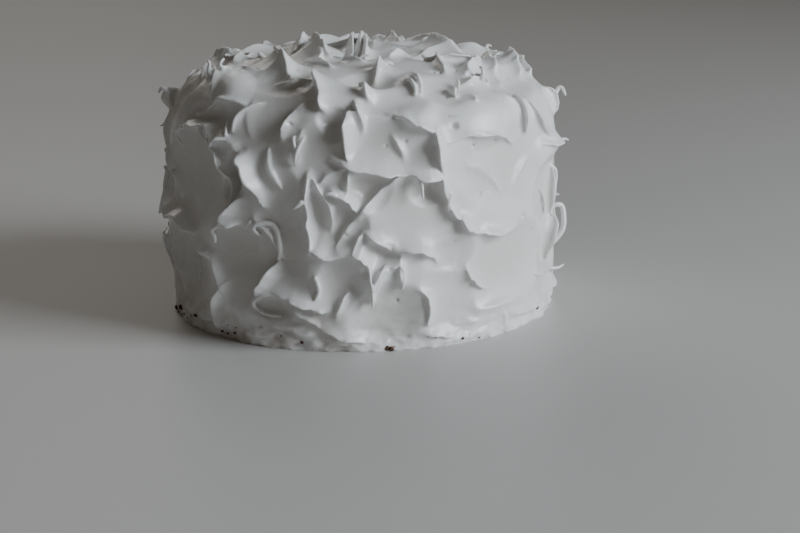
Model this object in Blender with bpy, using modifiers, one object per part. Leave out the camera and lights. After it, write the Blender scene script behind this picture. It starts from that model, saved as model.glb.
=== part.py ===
"""An uncut round layer cake under whipped white icing, as one solid.

The icing is a plain turned form (a drum with a soft shoulder) whose skin is then moved in and out:
low pillows and spoon-made bowls first, then folds. A fold is the crest that a palette knife leaves
where it lifts off: it has a gentle side, a steep side, and a tip that leans over the steep side.

Places on the skin are given as (angle, climb). The angle is in degrees round the cake, 0 at the
front (-Y) and growing towards +X. The climb is in millimetres, up the side from the foot and on
over the shoulder to the middle of the top. Metres, +Z up, origin under the middle of the foot.
"""

import bpy
import numpy as np

MM = 0.001

# Driving dimensions
CAKE_RADIUS = 117 * MM  # middle of the iced side
CAKE_HEIGHT = 152 * MM  # middle of the iced top
SIDE_POWER = 4  # outline (r / radius)^4 + (z / height)^9 = 1: the shoulder is rounder on its side
TOP_POWER = 9
FOOT_TUCK = 4 * MM  # the side draws in by this much at the foot
FOOT_REACH = 18 * MM  # and by a third of that at this height
ICING_FLOOR = 3 * MM  # hollows between folds lie this far under the plain form
FOOT_FADE = 7 * MM  # folds are smeared down to FOOT_SHARE of their height over this height
FOOT_SHARE = 0.35
UNDERSIDE_GAP = 0.3 * MM  # the skin stays this far above the flat underside

TURN_STEPS = 360
PROFILE_STEP = 1.8 * MM
MOST_TRIANGLES = 9400
ICING_COLOUR = (0.86, 0.86, 0.84, 1)
ICING_ROUGHNESS = 0.45

# Pillows and bowls
BOWL_CAP = 1.5 * MM  # the skin between bowls rises no further than this
BOWL_BLEND = 0.8 * MM  # softens the crest where two bowls meet
BOWL_EDGE = 3  # a bowl's curve is followed out to this many times its rim
BOWL_REACH = 60 * MM
PILLOW_POWER = 1.5
SAME_SIDE = 0.2  # a stroke acts where the skin faces its way by at least this cosine
FAR_AWAY = 9

# Folds
PATH_POINTS = 13
PATH_SOFTNESS = 3 * MM  # how smoothly the nearest place moves along a bent path
CREST_ROUNDING = 0.7 * MM
FLANK_LEAST = 4.5 * MM  # narrowest flank that the solid's faces can follow
FLANK_FALL = 1.6  # the flank falls as exp(-FLANK_FALL * distance / reach)
FLANK_TAIL = 2.2  # and has died out at this many times its reach
BLADE_SHARE = 0.45  # share of the crest that is a thin blade standing on the flanks
BLADE_REACH = 2.0 * MM
BLUNT_STEEP = 5 * MM  # a fold with a steep side wider than this is blunt and has less of a blade
END_SHARE = 0.45  # a crest starts and ends at this share of its height
END_REACH = 0.35  # and is full after this share of its length
LEAN_SHARE = 0.5  # share of each fold's lean that the solid keeps
BLEND_POWER = 3  # folds join as (a^n + b^n)^(1/n)
SMALLEST = 1e-9

# Low pillows on the skin: angle, climb, half width, half height, tilt in degrees, rise in mm
PILLOWS = [
    (38, 126, 34, 18, 8, 5.0),
    (-48, 149, 24, 13, -20, 5.0),
    (-26, 34, 22, 16, 20, 1.5),
    (68, 99, 22, 12, 10, 3.5),
    (-8, 157, 34, 10, 0, 2.0),
    (14, 72, 30, 20, -10, 2.0),
]

# Hollows left by the back of a spoon: angle, climb, half width, half height, tilt, depth in mm
BOWLS = [
    (47, 98, 36, 22, 5, 4.0),
    (46, 41, 34, 20, 10, 4.0),
    (68, 72, 18, 24, 0, 3.0),
    (72, 34, 18, 22, 0, 2.5),
    (6, 113, 24, 13, -8, 3.0),
    (2.5, 90, 13, 11, 0, 5.0),
    (16, 76, 24, 18, -10, 3.5),
    (-5, 68, 11, 15, -40, 3.5),
    (-12.5, 78, 7, 18, 0, 2.5),
    (-23, 62, 14, 36, 0, 3.0),
    (-12, 111, 13, 14, 0, 2.0),
    (-26, 124, 16, 18, 0, 1.5),
    (-15, 107, 6, 10, 0, 1.5),
    (-37.8, 97, 7, 17, -22, 6.5),
    (-57, 92, 28, 26, 0, 4.0),
    (-50, 127, 20, 8, 0, 4.5),
    (-36, 46, 20, 22, 0, 4.0),
    (-63, 33, 26, 20, 0, 3.5),
    (-26.5, 23, 12, 6, 0, 3.0),
    (-6, 38, 12, 14, 0, 4.5),
    (6, 20, 19, 18, 0, 4.0),
    (25, 28, 16, 20, 0, 2.5),
    (25, 51, 14, 9, 0, 3.0),
    (18, 86, 12, 9, 0, 6.0),
    (5, 55, 9, 6, 0, 3.5),
    (-8, 127, 9, 11, 0, 5.0),
    (10, 140, 16, 9, 0, 3.0),
    (-80, 80, 16, 22, 0, 3.0),
    (-76, 140, 14, 16, 0, 3.0),
    (62, 148, 22, 12, 0, 3.0),
    (28, 150, 16, 12, 0, 3.0),
    (-28, 160, 18, 14, 0, 3.0),
    (3, 162, 14, 10, 0, 3.5),
]

# Folds laid by hand: from angle, climb to angle, climb, then in mm the bend of the path to its left,
# the crest's height, the reach of the gentle left side and of the steep right side, and the lean.
LEFT_FOLDS = [
    (-40.5, 114.5, -27.5, 81.5, 6.5, 10.0, 4, 2.2, 0.8),
    (-38.5, 77, -46.5, 110, -5.0, 8.0, 2.6, 2.4, 0.3),
    (-46.5, 108.5, -39.5, 116, 2.0, 7.0, 3, 3, 1.0),
    (-62, 118.5, -42, 115, 4.0, 7.0, 5, 3, 3.0),
    (-31.5, 140, -38.5, 119, -1.5, 2.5, 2.0, 2.0, 0.3),
    (-58, 127, -37, 137, 2.0, 4.5, 9, 5, 0.5),
    (-61, 164, -50.5, 138, 0.0, 4.5, 8, 4, 1.0),
    (-34.5, 140, -32.5, 120, -2.0, 2.0, 6, 1.8, 0.3),
    (-43.5, 66.5, -34.5, 69, 2.5, 7.5, 4, 2.2, 2.0),
    (-35, 84.5, -42.5, 67.5, 2.0, 9.5, 5, 3, 1.0),
    (-30.5, 73, -22.5, 52, 3.0, 4.0, 3, 2.5, 1.0),
    (-77, 72.5, -53.5, 60, 0.0, 8.5, 5, 3, 2.0),
    (-53.5, 60.5, -46, 45, -1.5, 6.0, 2.5, 2.5, 0.5),
    (-46.5, 48, -41, 24, 0.0, 5.0, 2.5, 2.5, 0.5),
    (-42, 33, -46, 7, 0.0, 7.0, 3.5, 3, 0.5),
    (-24, 49, -31.2, 27, 0.0, 7.0, 5, 3, 1.5),
    (-28.5, 31.5, -11, 24, 5.5, 7.0, 6, 2.5, 3.0),
    (-21.5, 29, -11.8, 14, 0.0, 3.5, 3, 2.5, 1.0),
    (-80, 105, -66, 78, 3.0, 4.0, 5, 4, 0.5),
    (-88, 121, -80, 96, 0.0, 3.0, 5, 5, 0.5),
    (-76, 40, -66, 18, 3.0, 3.5, 5, 5, 0.5),
    (-84, 92, -74, 66, 2.0, 3.0, 4, 4, 0.5),
]
MIDDLE_FOLDS = [
    (-13.9, 57, -14.4, 98.5, 0.0, 7.5, 10, 4, -2.5),
    (-14, 59, -8.5, 53, -1.0, 5.0, 6, 3, 1.0),
    (-9, 53, 1.5, 51, 5.0, 7.5, 8, 3.5, 2.5),
    (2, 28, 1.2, 50, 0.0, 5.0, 5, 2.5, 1.0),
    (7, 50, 2.4, 28, -2.4, 5.5, 6, 2.5, 1.0),
    (-8.5, 70, -14.5, 98, -3.7, 5.0, 3, 5, 0.5),
    (-8.5, 91.5, -0.2, 75, 3.0, 7.0, 4, 3, 1.5),
    (-4.3, 87, -3.8, 101, 0.0, 4.0, 4, 3, 0.5),
    (11, 98, -7, 59, -2.6, 6.5, 7, 3, 1.5),
    (-8, 107.5, 13, 99.5, 0.0, 7.0, 12, 4.5, 3.0),
    (13, 99.5, 23, 94.5, 1.5, 8.0, 9, 5, 3.0),
    (-3, 134, -3.4, 108, 0.0, 8.0, 9, 2.5, 2.5),
    (0.8, 124, -3, 133, -1.5, 5.0, 4, 2.5, 1.5),
    (-1.2, 143, 0.6, 126, 0.0, 5.0, 4, 3, 1.0),
    (-17, 122, -17.3, 106, 0.0, 3.0, 2.4, 2.2, 0.3),
    (-17.5, 138, -22.5, 117, -2.0, 5.0, 6, 3, 1.0),
    (-4, 104, -17, 88, 0.0, 3.0, 5, 5, 0.0),
    (0.5, 68, 10, 56, -1.0, 5.0, 5, 4, 0.5),
    (0.5, 67, -3, 55, 0.0, 4.0, 4, 4, 0.0),
    (9, 56.5, 21, 50.5, 4.0, 5.5, 7, 3, 1.0),
    (10.3, 54, 10.8, 36, 0.0, 3.5, 4, 2.5, 0.5),
    (6.5, 48, 10.5, 50.5, 1.2, 4.0, 4, 3, 1.0),
    (15.5, 34, 18, 15, 3.9, 5.0, 7, 3, 1.0),
    (-12, 13, 6, 3, 0.0, 3.5, 5, 2.5, 0.5),
    (14, 9, 29, 4, 0.0, 3.0, 5, 2, 0.5),
    (-4.3, 33, -7.5, 20, 0.0, 4.0, 4, 4, 0.0),
    (9, 120, 12, 106, 0.0, 3.0, 6, 3, 0.5),
]
RIGHT_FOLDS = [
    (8.5, 133, 20.8, 122, 0.0, 7.0, 12, 3.5, 2.5),
    (20.8, 122, 22.6, 98, 0.0, 7.5, 12, 3.0, 2.5),
    (22.4, 100, 28.8, 71, -3.8, 7.5, 11, 4.5, 2.0),
    (28.5, 73, 33, 62.5, -1.5, 7.0, 9, 4, 2.0),
    (32, 62.5, 49, 61.5, -0.5, 5.5, 9, 5, 1.5),
    (23.5, 114, 49, 110, 5.5, 4.0, 12, 1.8, 0.8),
    (54.5, 137, 55.5, 113, -1.0, 5.0, 5, 2.5, 1.5),
    (47.5, 140, 52.5, 128, 0.0, 3.0, 4, 4, 0.0),
    (74, 88, 75, 56, 0.0, 5.0, 5, 3, 1.0),
    (64, 103, 84, 100, 0.0, 5.0, 6, 4, 1.0),
    (31, 101, 43, 82, 4.0, 3.0, 8, 6, 0.0),
    (50, 84, 60, 100, 4.0, 3.0, 8, 6, 0.0),
    (30, 45, 37.5, 29, -3.0, 4.0, 6, 5, 0.0),
    (33, 20, 51, 22, -2.0, 3.5, 6, 6, 0.0),
    (44, 11, 46, 1, 0.0, 3.0, 2, 6, 0.0),
    (77, 60, 72, 32, -4.0, 8.0, 5, 4, 1.0),
    (60, 30, 80, 24, 0.0, 4.0, 6, 4, 0.5),
    (82, 131, 84, 116, 0.0, 7.0, 7, 5, 0.5),
    (60, 132, 70, 104, -4.0, 4.0, 5, 3, 1.0),
    (64, 78, 70, 60, 0.0, 3.5, 4, 4, 0.5),
]
TOP_FOLDS = [
    (-18, 170, -10.5, 136, 0.0, 8.0, 10, 3.5, 2.0),
    (-57, 160, -43, 167, 0.0, 5.0, 6, 10, 0.0),
    (-33, 160, -19, 165, -1.0, 4.5, 5, 8, 0.0),
    (-64, 152, -62, 155, 0.0, 5.0, 4, 4, 0.0),
    (-55, 154, -53.5, 157, 0.0, 5.0, 4, 4, 0.0),
    (-67, 194, -27, 163, 0.0, 14.0, 9, 14, 1.0),
    (-38, 218, -128, 206, 0.0, 12.0, 10, 9, -0.5),
    (-112, 204, -150, 190, 0.0, 10.0, 9, 9, 0.5),
    (-34, 238, -168, 214, 0.0, 10.0, 4, 4, 0.5),
    (-10, 239, 179, 208, 0.0, 11.0, 4, 5, 0.5),
    (6, 222, 177, 210, 0.0, 10.0, 7, 4, 0.5),
    (166, 184, 122, 211, 0.0, 10.0, 10, 9, 0.0),
    (146, 214, 72, 182, 2.0, 12.0, 14, 16, 0.0),
    (52, 193, 37, 167, 0.0, 6.5, 7, 4, 1.0),
    (43, 161, 66, 171, 0.0, 9.0, 8, 6, 0.5),
    (70, 173, 57, 150, -1.0, 10.0, 9, 6, 0.5),
    (90, 165, 74, 150, 0.0, 10.5, 8, 7, 0.0),
    (98, 160, 80, 144, 0.0, 8.0, 5, 4, 0.0),
    (12, 187, 6, 166, 0.0, 9.0, 8, 6, 0.5),
    (21, 167, 18.5, 146, 0.0, 6.5, 5, 6, 0.5),
    (0, 161, 3.2, 145, 0.0, 7.0, 7, 4, 1.5),
    (31, 151, 32, 143, 0.0, 4.0, 4, 2.5, 1.0),
    (35, 151, 46, 154, 0.0, 4.5, 5, 4, 0.5),
    (46, 157, 48, 149, 0.0, 4.0, 4, 3, 0.5),
    (37, 142, 35.5, 135, 0.0, 2.5, 2.5, 1.8, 0.5),
    (-85, 180, -70, 170, 0.0, 6.0, 6, 6, 0.5),
    (-90, 162, -76, 150, 0.0, 5.0, 5, 5, 0.5),
    (-12, 205, 2, 196, 0.0, 6.0, 6, 4, 1.0),
    (-40, 196, -14, 182, 0.0, 5.5, 7, 5, 1.0),
    (24, 206, 52, 212, 0.0, 6.0, 7, 5, 1.0),
    (118, 186, 108, 166, 0.0, 7.0, 7, 6, 1.0),
    (152, 176, 140, 160, 0.0, 7.0, 7, 5, 1.5),
    (-120, 178, -138, 164, 0.0, 7.0, 6, 8, 1.0),
    (-168, 186, 174, 170, 0.0, 8.0, 7, 7, 1.5),
    (176, 164, -172, 150, 0.0, 6.0, 8, 4, 1.5),
    (-104, 170, -112, 148, 0.0, 6.0, 8, 4, 1.5),
]

# Elsewhere the icing follows the same habits. The strokes on the side come round again at the back,
# swayed so that strokes that meet still meet; the gaps that are left, and the top, get seeded bowls,
# each with one or two folds along its rim and the gentle side towards the bowl.
FAR_SWAY = 8  # degrees
FAR_RISE = 0.09  # share of the climb
FAR_WAVE = 30  # mm of climb for each radian of the sway
FAR_CREST = 0.2
SIDE_TOP = 145  # strokes that start above this climb in mm belong to the top
WILD_SEED = 11
WILD_SIDE_BOWLS = 7
WILD_TOP_BOWLS = 12
WILD_ANGLES = (90, 270)
WILD_SIDE_CLIMBS = (8, 138)
WILD_TOP_CLIMBS = (150, 240)
WILD_TRIES = 30
WILD_BOWL_SIZE = (12, 24)
WILD_BOWL_DEPTH = (3, 5)
WILD_RIM_SPAN = (80, 170)  # degrees of a bowl's rim that a fold follows
WILD_CREST = (4.0, 7.5)
WILD_GENTLE = (5, 10)
WILD_STEEP = (2.2, 3.5)
WILD_LEAN = (0.5, 3.0)
WAVES = 9
WAVE_SPREAD = (0.7, 1.4)
WAVINESS = (0.7 * MM, 24 * MM)  # how far hand-made lines wander, and over what length
UNEVENNESS = (1.2 * MM, 70 * MM)


def cake_outline():
    """Climb, radius and height of points up the plain form, closely spaced for interpolation."""
    rise = np.concatenate([np.linspace(0, 0.97, 400)[:-1], 1 - np.geomspace(0.03, 1e-9, 1000)])
    height = CAKE_HEIGHT * rise
    radius = CAKE_RADIUS * (1 - rise**TOP_POWER) ** (1 / SIDE_POWER)
    radius -= FOOT_TUCK * np.exp(-height / FOOT_REACH)
    radius[-1] = 0
    height[-1] = CAKE_HEIGHT
    steps = np.hypot(np.diff(radius), np.diff(height))
    return np.concatenate([[0], np.cumsum(steps)]), radius, height


CLIMB, RADIUS, HEIGHT = cake_outline()
SLOPE_R = np.gradient(RADIUS, CLIMB)
SLOPE_Z = np.gradient(HEIGHT, CLIMB)


def skin_frame(angle, climb):
    """Point on the plain form and its outward, eastward and upward directions; angle in radians."""
    radius = np.interp(climb, CLIMB, RADIUS)
    height = np.interp(climb, CLIMB, HEIGHT)
    slope = np.hypot(np.interp(climb, CLIMB, SLOPE_R), np.interp(climb, CLIMB, SLOPE_Z))
    up_r = np.interp(climb, CLIMB, SLOPE_R) / slope
    up_z = np.interp(climb, CLIMB, SLOPE_Z) / slope
    east = np.stack(np.broadcast_arrays(np.cos(angle), np.sin(angle), 0 * radius), -1)
    spoke = np.stack(np.broadcast_arrays(np.sin(angle), -np.cos(angle), 0 * radius), -1)
    axis = np.array([0.0, 0.0, 1.0])
    point = spoke * np.expand_dims(radius, -1) + axis * np.expand_dims(height, -1)
    up = spoke * np.expand_dims(up_r, -1) + axis * np.expand_dims(up_z, -1)
    out = spoke * np.expand_dims(up_z, -1) - axis * np.expand_dims(up_r, -1)
    return point, out, east, up


def climb_of(points):
    """Climb of the place on the plain form that is nearest to each point."""
    reach = np.hypot(points[..., 0], points[..., 1])
    gaps = (reach[..., None] - RADIUS[::3]) ** 2 + (points[..., 2][..., None] - HEIGHT[::3]) ** 2
    return CLIMB[::3][np.argmin(gaps, axis=-1)]


def angle_of(points):
    """Angle in radians of each point round the cake."""
    return np.arctan2(points[..., 0], -points[..., 1])


def smooth(x):
    """0 to 1 with level ends."""
    x = np.clip(x, 0, 1)
    return x * x * (3 - 2 * x)


def far_place(angle, climb):
    """A place half way round the cake, swayed so that neighbours shift alike."""
    sway = np.sin(np.radians(2 * angle) + climb / FAR_WAVE)
    rise = np.sin(np.radians(3 * angle) - climb / FAR_WAVE)
    return angle + 180 + FAR_SWAY * sway, climb * (1 + FAR_RISE * rise)


def far_folds(rows):
    """Rows of a fold table moved half way round, some crests higher and some lower."""
    far = []
    for start_angle, start_climb, end_angle, end_climb, bend, crest, *rest in rows:
        grown = crest * (1 + FAR_CREST * np.sin(np.radians(5 * start_angle)))
        places = (*far_place(start_angle, start_climb), *far_place(end_angle, end_climb))
        far.append((*places, bend, grown, *rest))
    return far


def far_ellipses(rows):
    """Rows of the pillows or bowls on the side, moved half way round."""
    return [(*far_place(*row[:2]), *row[2:]) for row in rows if row[1] < SIDE_TOP]


def fold_path(start, end, bend):
    """A bowed line over the skin: its points and the directions to its left."""
    out = skin_frame(angle_of((start + end) / 2), climb_of((start + end) / 2))[1]
    left = np.cross(out, end - start)
    left /= np.linalg.norm(left)
    middle = (start + end) / 2 + 2 * bend * left
    t = np.linspace(0, 1, PATH_POINTS)[:, None]
    line = (1 - t) ** 2 * start + 2 * t * (1 - t) * middle + t**2 * end
    points, outs, _, _ = skin_frame(angle_of(line), climb_of(line))
    lefts = np.cross(outs, np.gradient(points, axis=0))
    return points, lefts / np.linalg.norm(lefts, axis=1, keepdims=True)


def hand_laid(rows):
    """Rows of the fold tables as (start point, end point, then the sizes in metres)."""
    folds = []
    for start_angle, start_climb, end_angle, end_climb, *sizes in rows:
        start = skin_frame(np.radians(start_angle), start_climb * MM)[0]
        end = skin_frame(np.radians(end_angle), end_climb * MM)[0]
        folds.append((start, end, *(size * MM for size in sizes)))
    return folds


def ellipse(angle, climb, half_width, half_height, tilt, size):
    """A pillow or bowl as (centre, outward direction, long axis / half width, other axis, size)."""
    centre, out, east, up = skin_frame(np.radians(angle), climb * MM)
    turn = np.radians(tilt)
    across = (east * np.cos(turn) + up * np.sin(turn)) / (half_width * MM)
    along = (up * np.cos(turn) - east * np.sin(turn)) / (half_height * MM)
    return centre, out, across, along, size * MM


def spread_bowls(random, count, angles, climbs, taken):
    """Bowls well apart from each other: for each, the best of several places tried."""
    bowls = []
    for _ in range(count):
        tries = [(random.uniform(*angles), random.uniform(*climbs)) for _ in range(WILD_TRIES)]
        spots = [skin_frame(np.radians(angle), climb * MM)[0] for angle, climb in tries]
        others = np.array(taken + [bowl[0] for bowl in bowls])
        room = [np.linalg.norm(others - spot, axis=1).min() for spot in spots]
        angle, climb = tries[int(np.argmax(room))]
        sizes = [random.uniform(*WILD_BOWL_SIZE) for _ in range(2)]
        tilt = random.uniform(0, 180)
        bowls.append(ellipse(angle, climb, *sizes, tilt, random.uniform(*WILD_BOWL_DEPTH)))
    return bowls


def rim_folds(random, bowls):
    """One or two folds along each bowl's rim, anticlockwise from outside, so its bowl is on its left."""
    folds = []
    for centre, out, across, along, _ in bowls:
        across = across / (across @ across)
        along = along / (along @ along)
        first = random.uniform(0, 2 * np.pi)
        for turn in (0, np.pi)[: random.integers(1, 3)]:
            span = np.radians(random.uniform(*WILD_RIM_SPAN))
            turns = first + turn + np.array([0, span / 2, span])
            start, middle, end = (np.cos(a) * across + np.sin(a) * along + centre for a in turns)
            bulge = np.linalg.norm(middle - (start + end) / 2)
            ranges = (WILD_CREST, WILD_GENTLE, WILD_STEEP, WILD_LEAN)
            sizes = [random.uniform(*limits) * MM for limits in ranges]
            folds.append((start, end, -bulge, *sizes))
    return folds


def wander(random, points, size, length):
    """A smooth vector field over the points: sines of about one wavelength in random directions."""
    field = np.zeros(points.shape)
    for _ in range(WAVES):
        wave = random.normal(size=3)
        wave *= 2 * np.pi / length / np.linalg.norm(wave) * random.uniform(*WAVE_SPREAD)
        field += np.sin(points @ wave + random.uniform(0, 2 * np.pi))[:, None] * random.normal(size=3)
    return field * size / np.sqrt(WAVES)


def nearest_on_path(points, path, lefts):
    """Distance to a path, share of the way along it, unit direction off it, and its left, per point.
    All but the distance are averages over the nearer stretches, so they turn smoothly."""
    steps = np.diff(path, axis=0)
    away = points[:, None] - path[None, :-1]
    t = np.clip((away * steps).sum(-1) / (steps * steps).sum(-1), 0, 1)
    away -= t[..., None] * steps
    squared = (away * away).sum(-1)
    nearest = squared.min(1, keepdims=True)
    weight = np.exp((nearest - squared) / PATH_SOFTNESS**2)
    weight /= weight.sum(1, keepdims=True)
    share = (weight * (t + np.arange(len(steps)))).sum(1) / len(steps)
    off = (weight[..., None] * away).sum(1)
    left = (weight[..., None] * (lefts[:-1] + t[..., None] * np.diff(lefts, axis=0))).sum(1)
    off /= np.maximum(np.linalg.norm(off, axis=1, keepdims=True), SMALLEST)
    return np.sqrt(nearest[:, 0]), share, off, left


def ellipse_share(points, outs, shape):
    """How far out each point is on an ellipse: 0 at its centre, 1 at its rim, FAR_AWAY behind it."""
    centre, out, across, along, _ = shape
    away = points - centre
    share = np.hypot(away @ across, away @ along)
    return np.where(outs @ out > SAME_SIDE, share, FAR_AWAY)


def pillow_height(points, outs, pillows):
    """Sum of caps rise * (1 - share^2)^PILLOW_POWER."""
    height = np.zeros(len(points))
    for shape in pillows:
        cap = np.clip(1 - ellipse_share(points, outs, shape) ** 2, 0, 1)
        height += shape[-1] * cap**PILLOW_POWER
    return height


def bowl_height(points, outs, bowls):
    """Lowest of the bowls' paraboloids depth * (share^2 - 1), with softened joins: where two bowls
    meet, a crest is left, which is highest where three meet."""
    height = np.full(len(points), BOWL_CAP)
    for shape in bowls:
        near = np.flatnonzero(np.linalg.norm(points - shape[0], axis=1) < BOWL_REACH)
        share = ellipse_share(points[near], outs[near], shape)
        here = shape[-1] * (np.minimum(share, BOWL_EDGE) ** 2 - 1)
        other = height[near]
        height[near] = (here + other - np.sqrt((here - other) ** 2 + BOWL_BLEND**2)) / 2
    return height


def end_taper(share):
    """Share of its height that a crest has at this share of its length from an end."""
    return END_SHARE + (1 - END_SHARE) * smooth(share / END_REACH)


def fold_height(points, folds):
    """Height and sideways lean of the folds. A flank falls off the crest as a tent's cloth does, fast
    at first, with a thin blade standing on it; crests taper to their ends; folds join by a power sum;
    and the lean grows with the square of the height up the flank."""
    height = np.zeros(len(points))
    lean_by = np.zeros((len(points), 3))
    tail = np.exp(-FLANK_FALL * FLANK_TAIL)
    for start, end, bend, crest, gentle, steep, lean in folds:
        path, lefts = fold_path(start, end, bend)
        gentle, steep = max(gentle, FLANK_LEAST), max(steep, FLANK_LEAST)
        reach = np.linalg.norm(path - path.mean(0), axis=1).max() + FLANK_TAIL * max(gentle, steep)
        near = np.flatnonzero(np.linalg.norm(points - path.mean(0), axis=1) < reach)
        distance, share, off, left = nearest_on_path(points[near], path, lefts)
        side = np.clip((off * left).sum(1), -1, 1)
        width = (gentle + steep + (gentle - steep) * side) / 2
        width *= (1 + np.sin(np.pi * share)) / 2
        rounded = np.sqrt(distance**2 + CREST_ROUNDING**2) - CREST_ROUNDING
        flank = np.clip((np.exp(-FLANK_FALL * rounded / width) - tail) / (1 - tail), 0, 1)
        blade = BLADE_SHARE * min(1, BLUNT_STEEP / steep) ** 2
        flank += blade * (np.exp(-rounded / BLADE_REACH) - flank)
        ends = end_taper(share) * end_taper(1 - share)
        rise = crest * ends * flank
        before = height[near]
        wins = (rise + SMALLEST) ** BLEND_POWER
        wins = wins / (wins + (before + SMALLEST) ** BLEND_POWER)
        height[near] = (before**BLEND_POWER + rise**BLEND_POWER) ** (1 / BLEND_POWER)
        push = -lean * LEAN_SHARE * (ends * flank**2)[:, None] * left
        lean_by[near] += (push - lean_by[near]) * wins[:, None]
    return height, lean_by


def iced_shape(points, outs):
    """Height over the plain form and sideways lean at each point of it."""
    random = np.random.default_rng(WILD_SEED)
    side_folds = LEFT_FOLDS + MIDDLE_FOLDS + RIGHT_FOLDS
    folds = hand_laid(side_folds + TOP_FOLDS + far_folds(side_folds))
    pillows = [ellipse(*row) for row in PILLOWS + far_ellipses(PILLOWS)]
    bowls = [ellipse(*row) for row in BOWLS + far_ellipses(BOWLS)]
    taken = [bowl[0] for bowl in bowls] + [(fold[0] + fold[1]) / 2 for fold in folds]
    side = spread_bowls(random, WILD_SIDE_BOWLS, WILD_ANGLES, WILD_SIDE_CLIMBS, taken)
    taken += [bowl[0] for bowl in side]
    top = spread_bowls(random, WILD_TOP_BOWLS, (-180, 180), WILD_TOP_CLIMBS, taken)
    folds += rim_folds(random, side + top)
    wandered = points + wander(random, points, *WAVINESS)
    height = pillow_height(wandered, outs, pillows) + bowl_height(wandered, outs, bowls + side + top)
    raised, lean_by = fold_height(wandered, folds)
    height += raised + wander(random, points, *UNEVENNESS)[:, 0] - ICING_FLOOR
    return height, lean_by


def turned_form():
    """The plain drum as a mesh: its outline screwed round the axis, from the middle of the top down."""
    climbs = np.linspace(CLIMB[-1], 0, round(CLIMB[-1] / PROFILE_STEP) + 1)
    radii = np.interp(climbs, CLIMB, RADIUS)
    heights = np.interp(climbs, CLIMB, HEIGHT)
    corners = [(r, 0, z) for r, z in zip(radii, heights)] + [(0, 0, 0)]
    outline = bpy.data.meshes.new("cake_outline")
    outline.from_pydata(corners, [(i, i + 1) for i in range(len(corners) - 1)], [])
    turned = bpy.data.objects.new("cake_outline", outline)
    bpy.context.scene.collection.objects.link(turned)
    screw = turned.modifiers.new("turn", "SCREW")
    screw.steps = screw.render_steps = TURN_STEPS
    screw.use_merge_vertices = True
    screw.merge_threshold = 0.01 * MM
    mesh = evaluated_mesh(turned)
    bpy.data.objects.remove(turned)
    return mesh


def evaluated_mesh(obj):
    """A new mesh of the object with its modifiers applied."""
    graph = bpy.context.evaluated_depsgraph_get()
    graph.update()
    return bpy.data.meshes.new_from_object(obj.evaluated_get(graph))


def ice(mesh):
    """Move the turned mesh's vertices to the iced surface; the flat underside keeps its height."""
    corners = np.empty(len(mesh.vertices) * 3, np.float32)
    mesh.vertices.foreach_get("co", corners)
    corners = corners.reshape(-1, 3).astype(np.float64)
    skin = np.flatnonzero((np.hypot(corners[:, 0], corners[:, 1]) > MM) | (corners[:, 2] > MM))
    points = corners[skin]
    outs = skin_frame(angle_of(points), climb_of(points))[1]
    height, lean_by = iced_shape(points, outs)
    fade = smooth(points[:, 2] / FOOT_FADE)
    kept = FOOT_SHARE + (1 - FOOT_SHARE) * fade
    moved = points + outs * (height * kept)[:, None] + lean_by * fade[:, None]
    foot = points[:, 2] < 0.01 * MM
    moved[:, 2] = np.where(foot, 0, np.maximum(moved[:, 2], UNDERSIDE_GAP))
    corners[skin] = moved
    mesh.vertices.foreach_set("co", corners.astype(np.float32).ravel())
    mesh.update()


def lightened(mesh):
    """The same surface in fewer triangles, which gather along the crests."""
    full = bpy.data.objects.new("full_icing", mesh)
    bpy.context.scene.collection.objects.link(full)
    triangles = sum(len(face.vertices) - 2 for face in mesh.polygons)
    fewer = full.modifiers.new("fewer", "DECIMATE")
    fewer.ratio = MOST_TRIANGLES / triangles
    light = evaluated_mesh(full)
    bpy.data.objects.remove(full)
    return light


def centre_on_foot(mesh):
    """Put the middle of the outer box over the origin and the underside at z = 0."""
    corners = np.empty(len(mesh.vertices) * 3, np.float32)
    mesh.vertices.foreach_get("co", corners)
    corners = corners.reshape(-1, 3)
    middle = (corners.min(0) + corners.max(0)) / 2
    corners[:, :2] -= middle[:2]
    corners[corners[:, 2] < 0.05 * MM, 2] = 0
    mesh.vertices.foreach_set("co", corners.ravel())
    mesh.update()


def icing_material():
    """White whipped icing with a soft satin sheen."""
    material = bpy.data.materials.new("icing")
    material.use_nodes = True
    shader = material.node_tree.nodes["Principled BSDF"]
    shader.inputs["Base Color"].default_value = ICING_COLOUR
    shader.inputs["Roughness"].default_value = ICING_ROUGHNESS
    shader.inputs["Metallic"].default_value = 0
    return material


def main():
    """Clear the scene and make the cake in a collection of its own."""
    for obj in list(bpy.data.objects):
        bpy.data.objects.remove(obj)
    parts = bpy.data.collections.new("layer_cake")
    bpy.context.scene.collection.children.link(parts)
    mesh = turned_form()
    ice(mesh)
    mesh = lightened(mesh)
    centre_on_foot(mesh)
    mesh.name = "frosted_cake"
    mesh.materials.clear()
    mesh.materials.append(icing_material())
    mesh.shade_smooth()
    cake = bpy.data.objects.new("frosted_cake", mesh)
    parts.objects.link(cake)
    box = np.array([corner[:] for corner in cake.bound_box])
    print("cake box in mm", np.round(np.ptp(box, axis=0) / MM, 1), len(mesh.polygons), "faces")


main()
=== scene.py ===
"""The looks of a tall round layer cake under whipped white icing, as a lesson in cells."""

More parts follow.
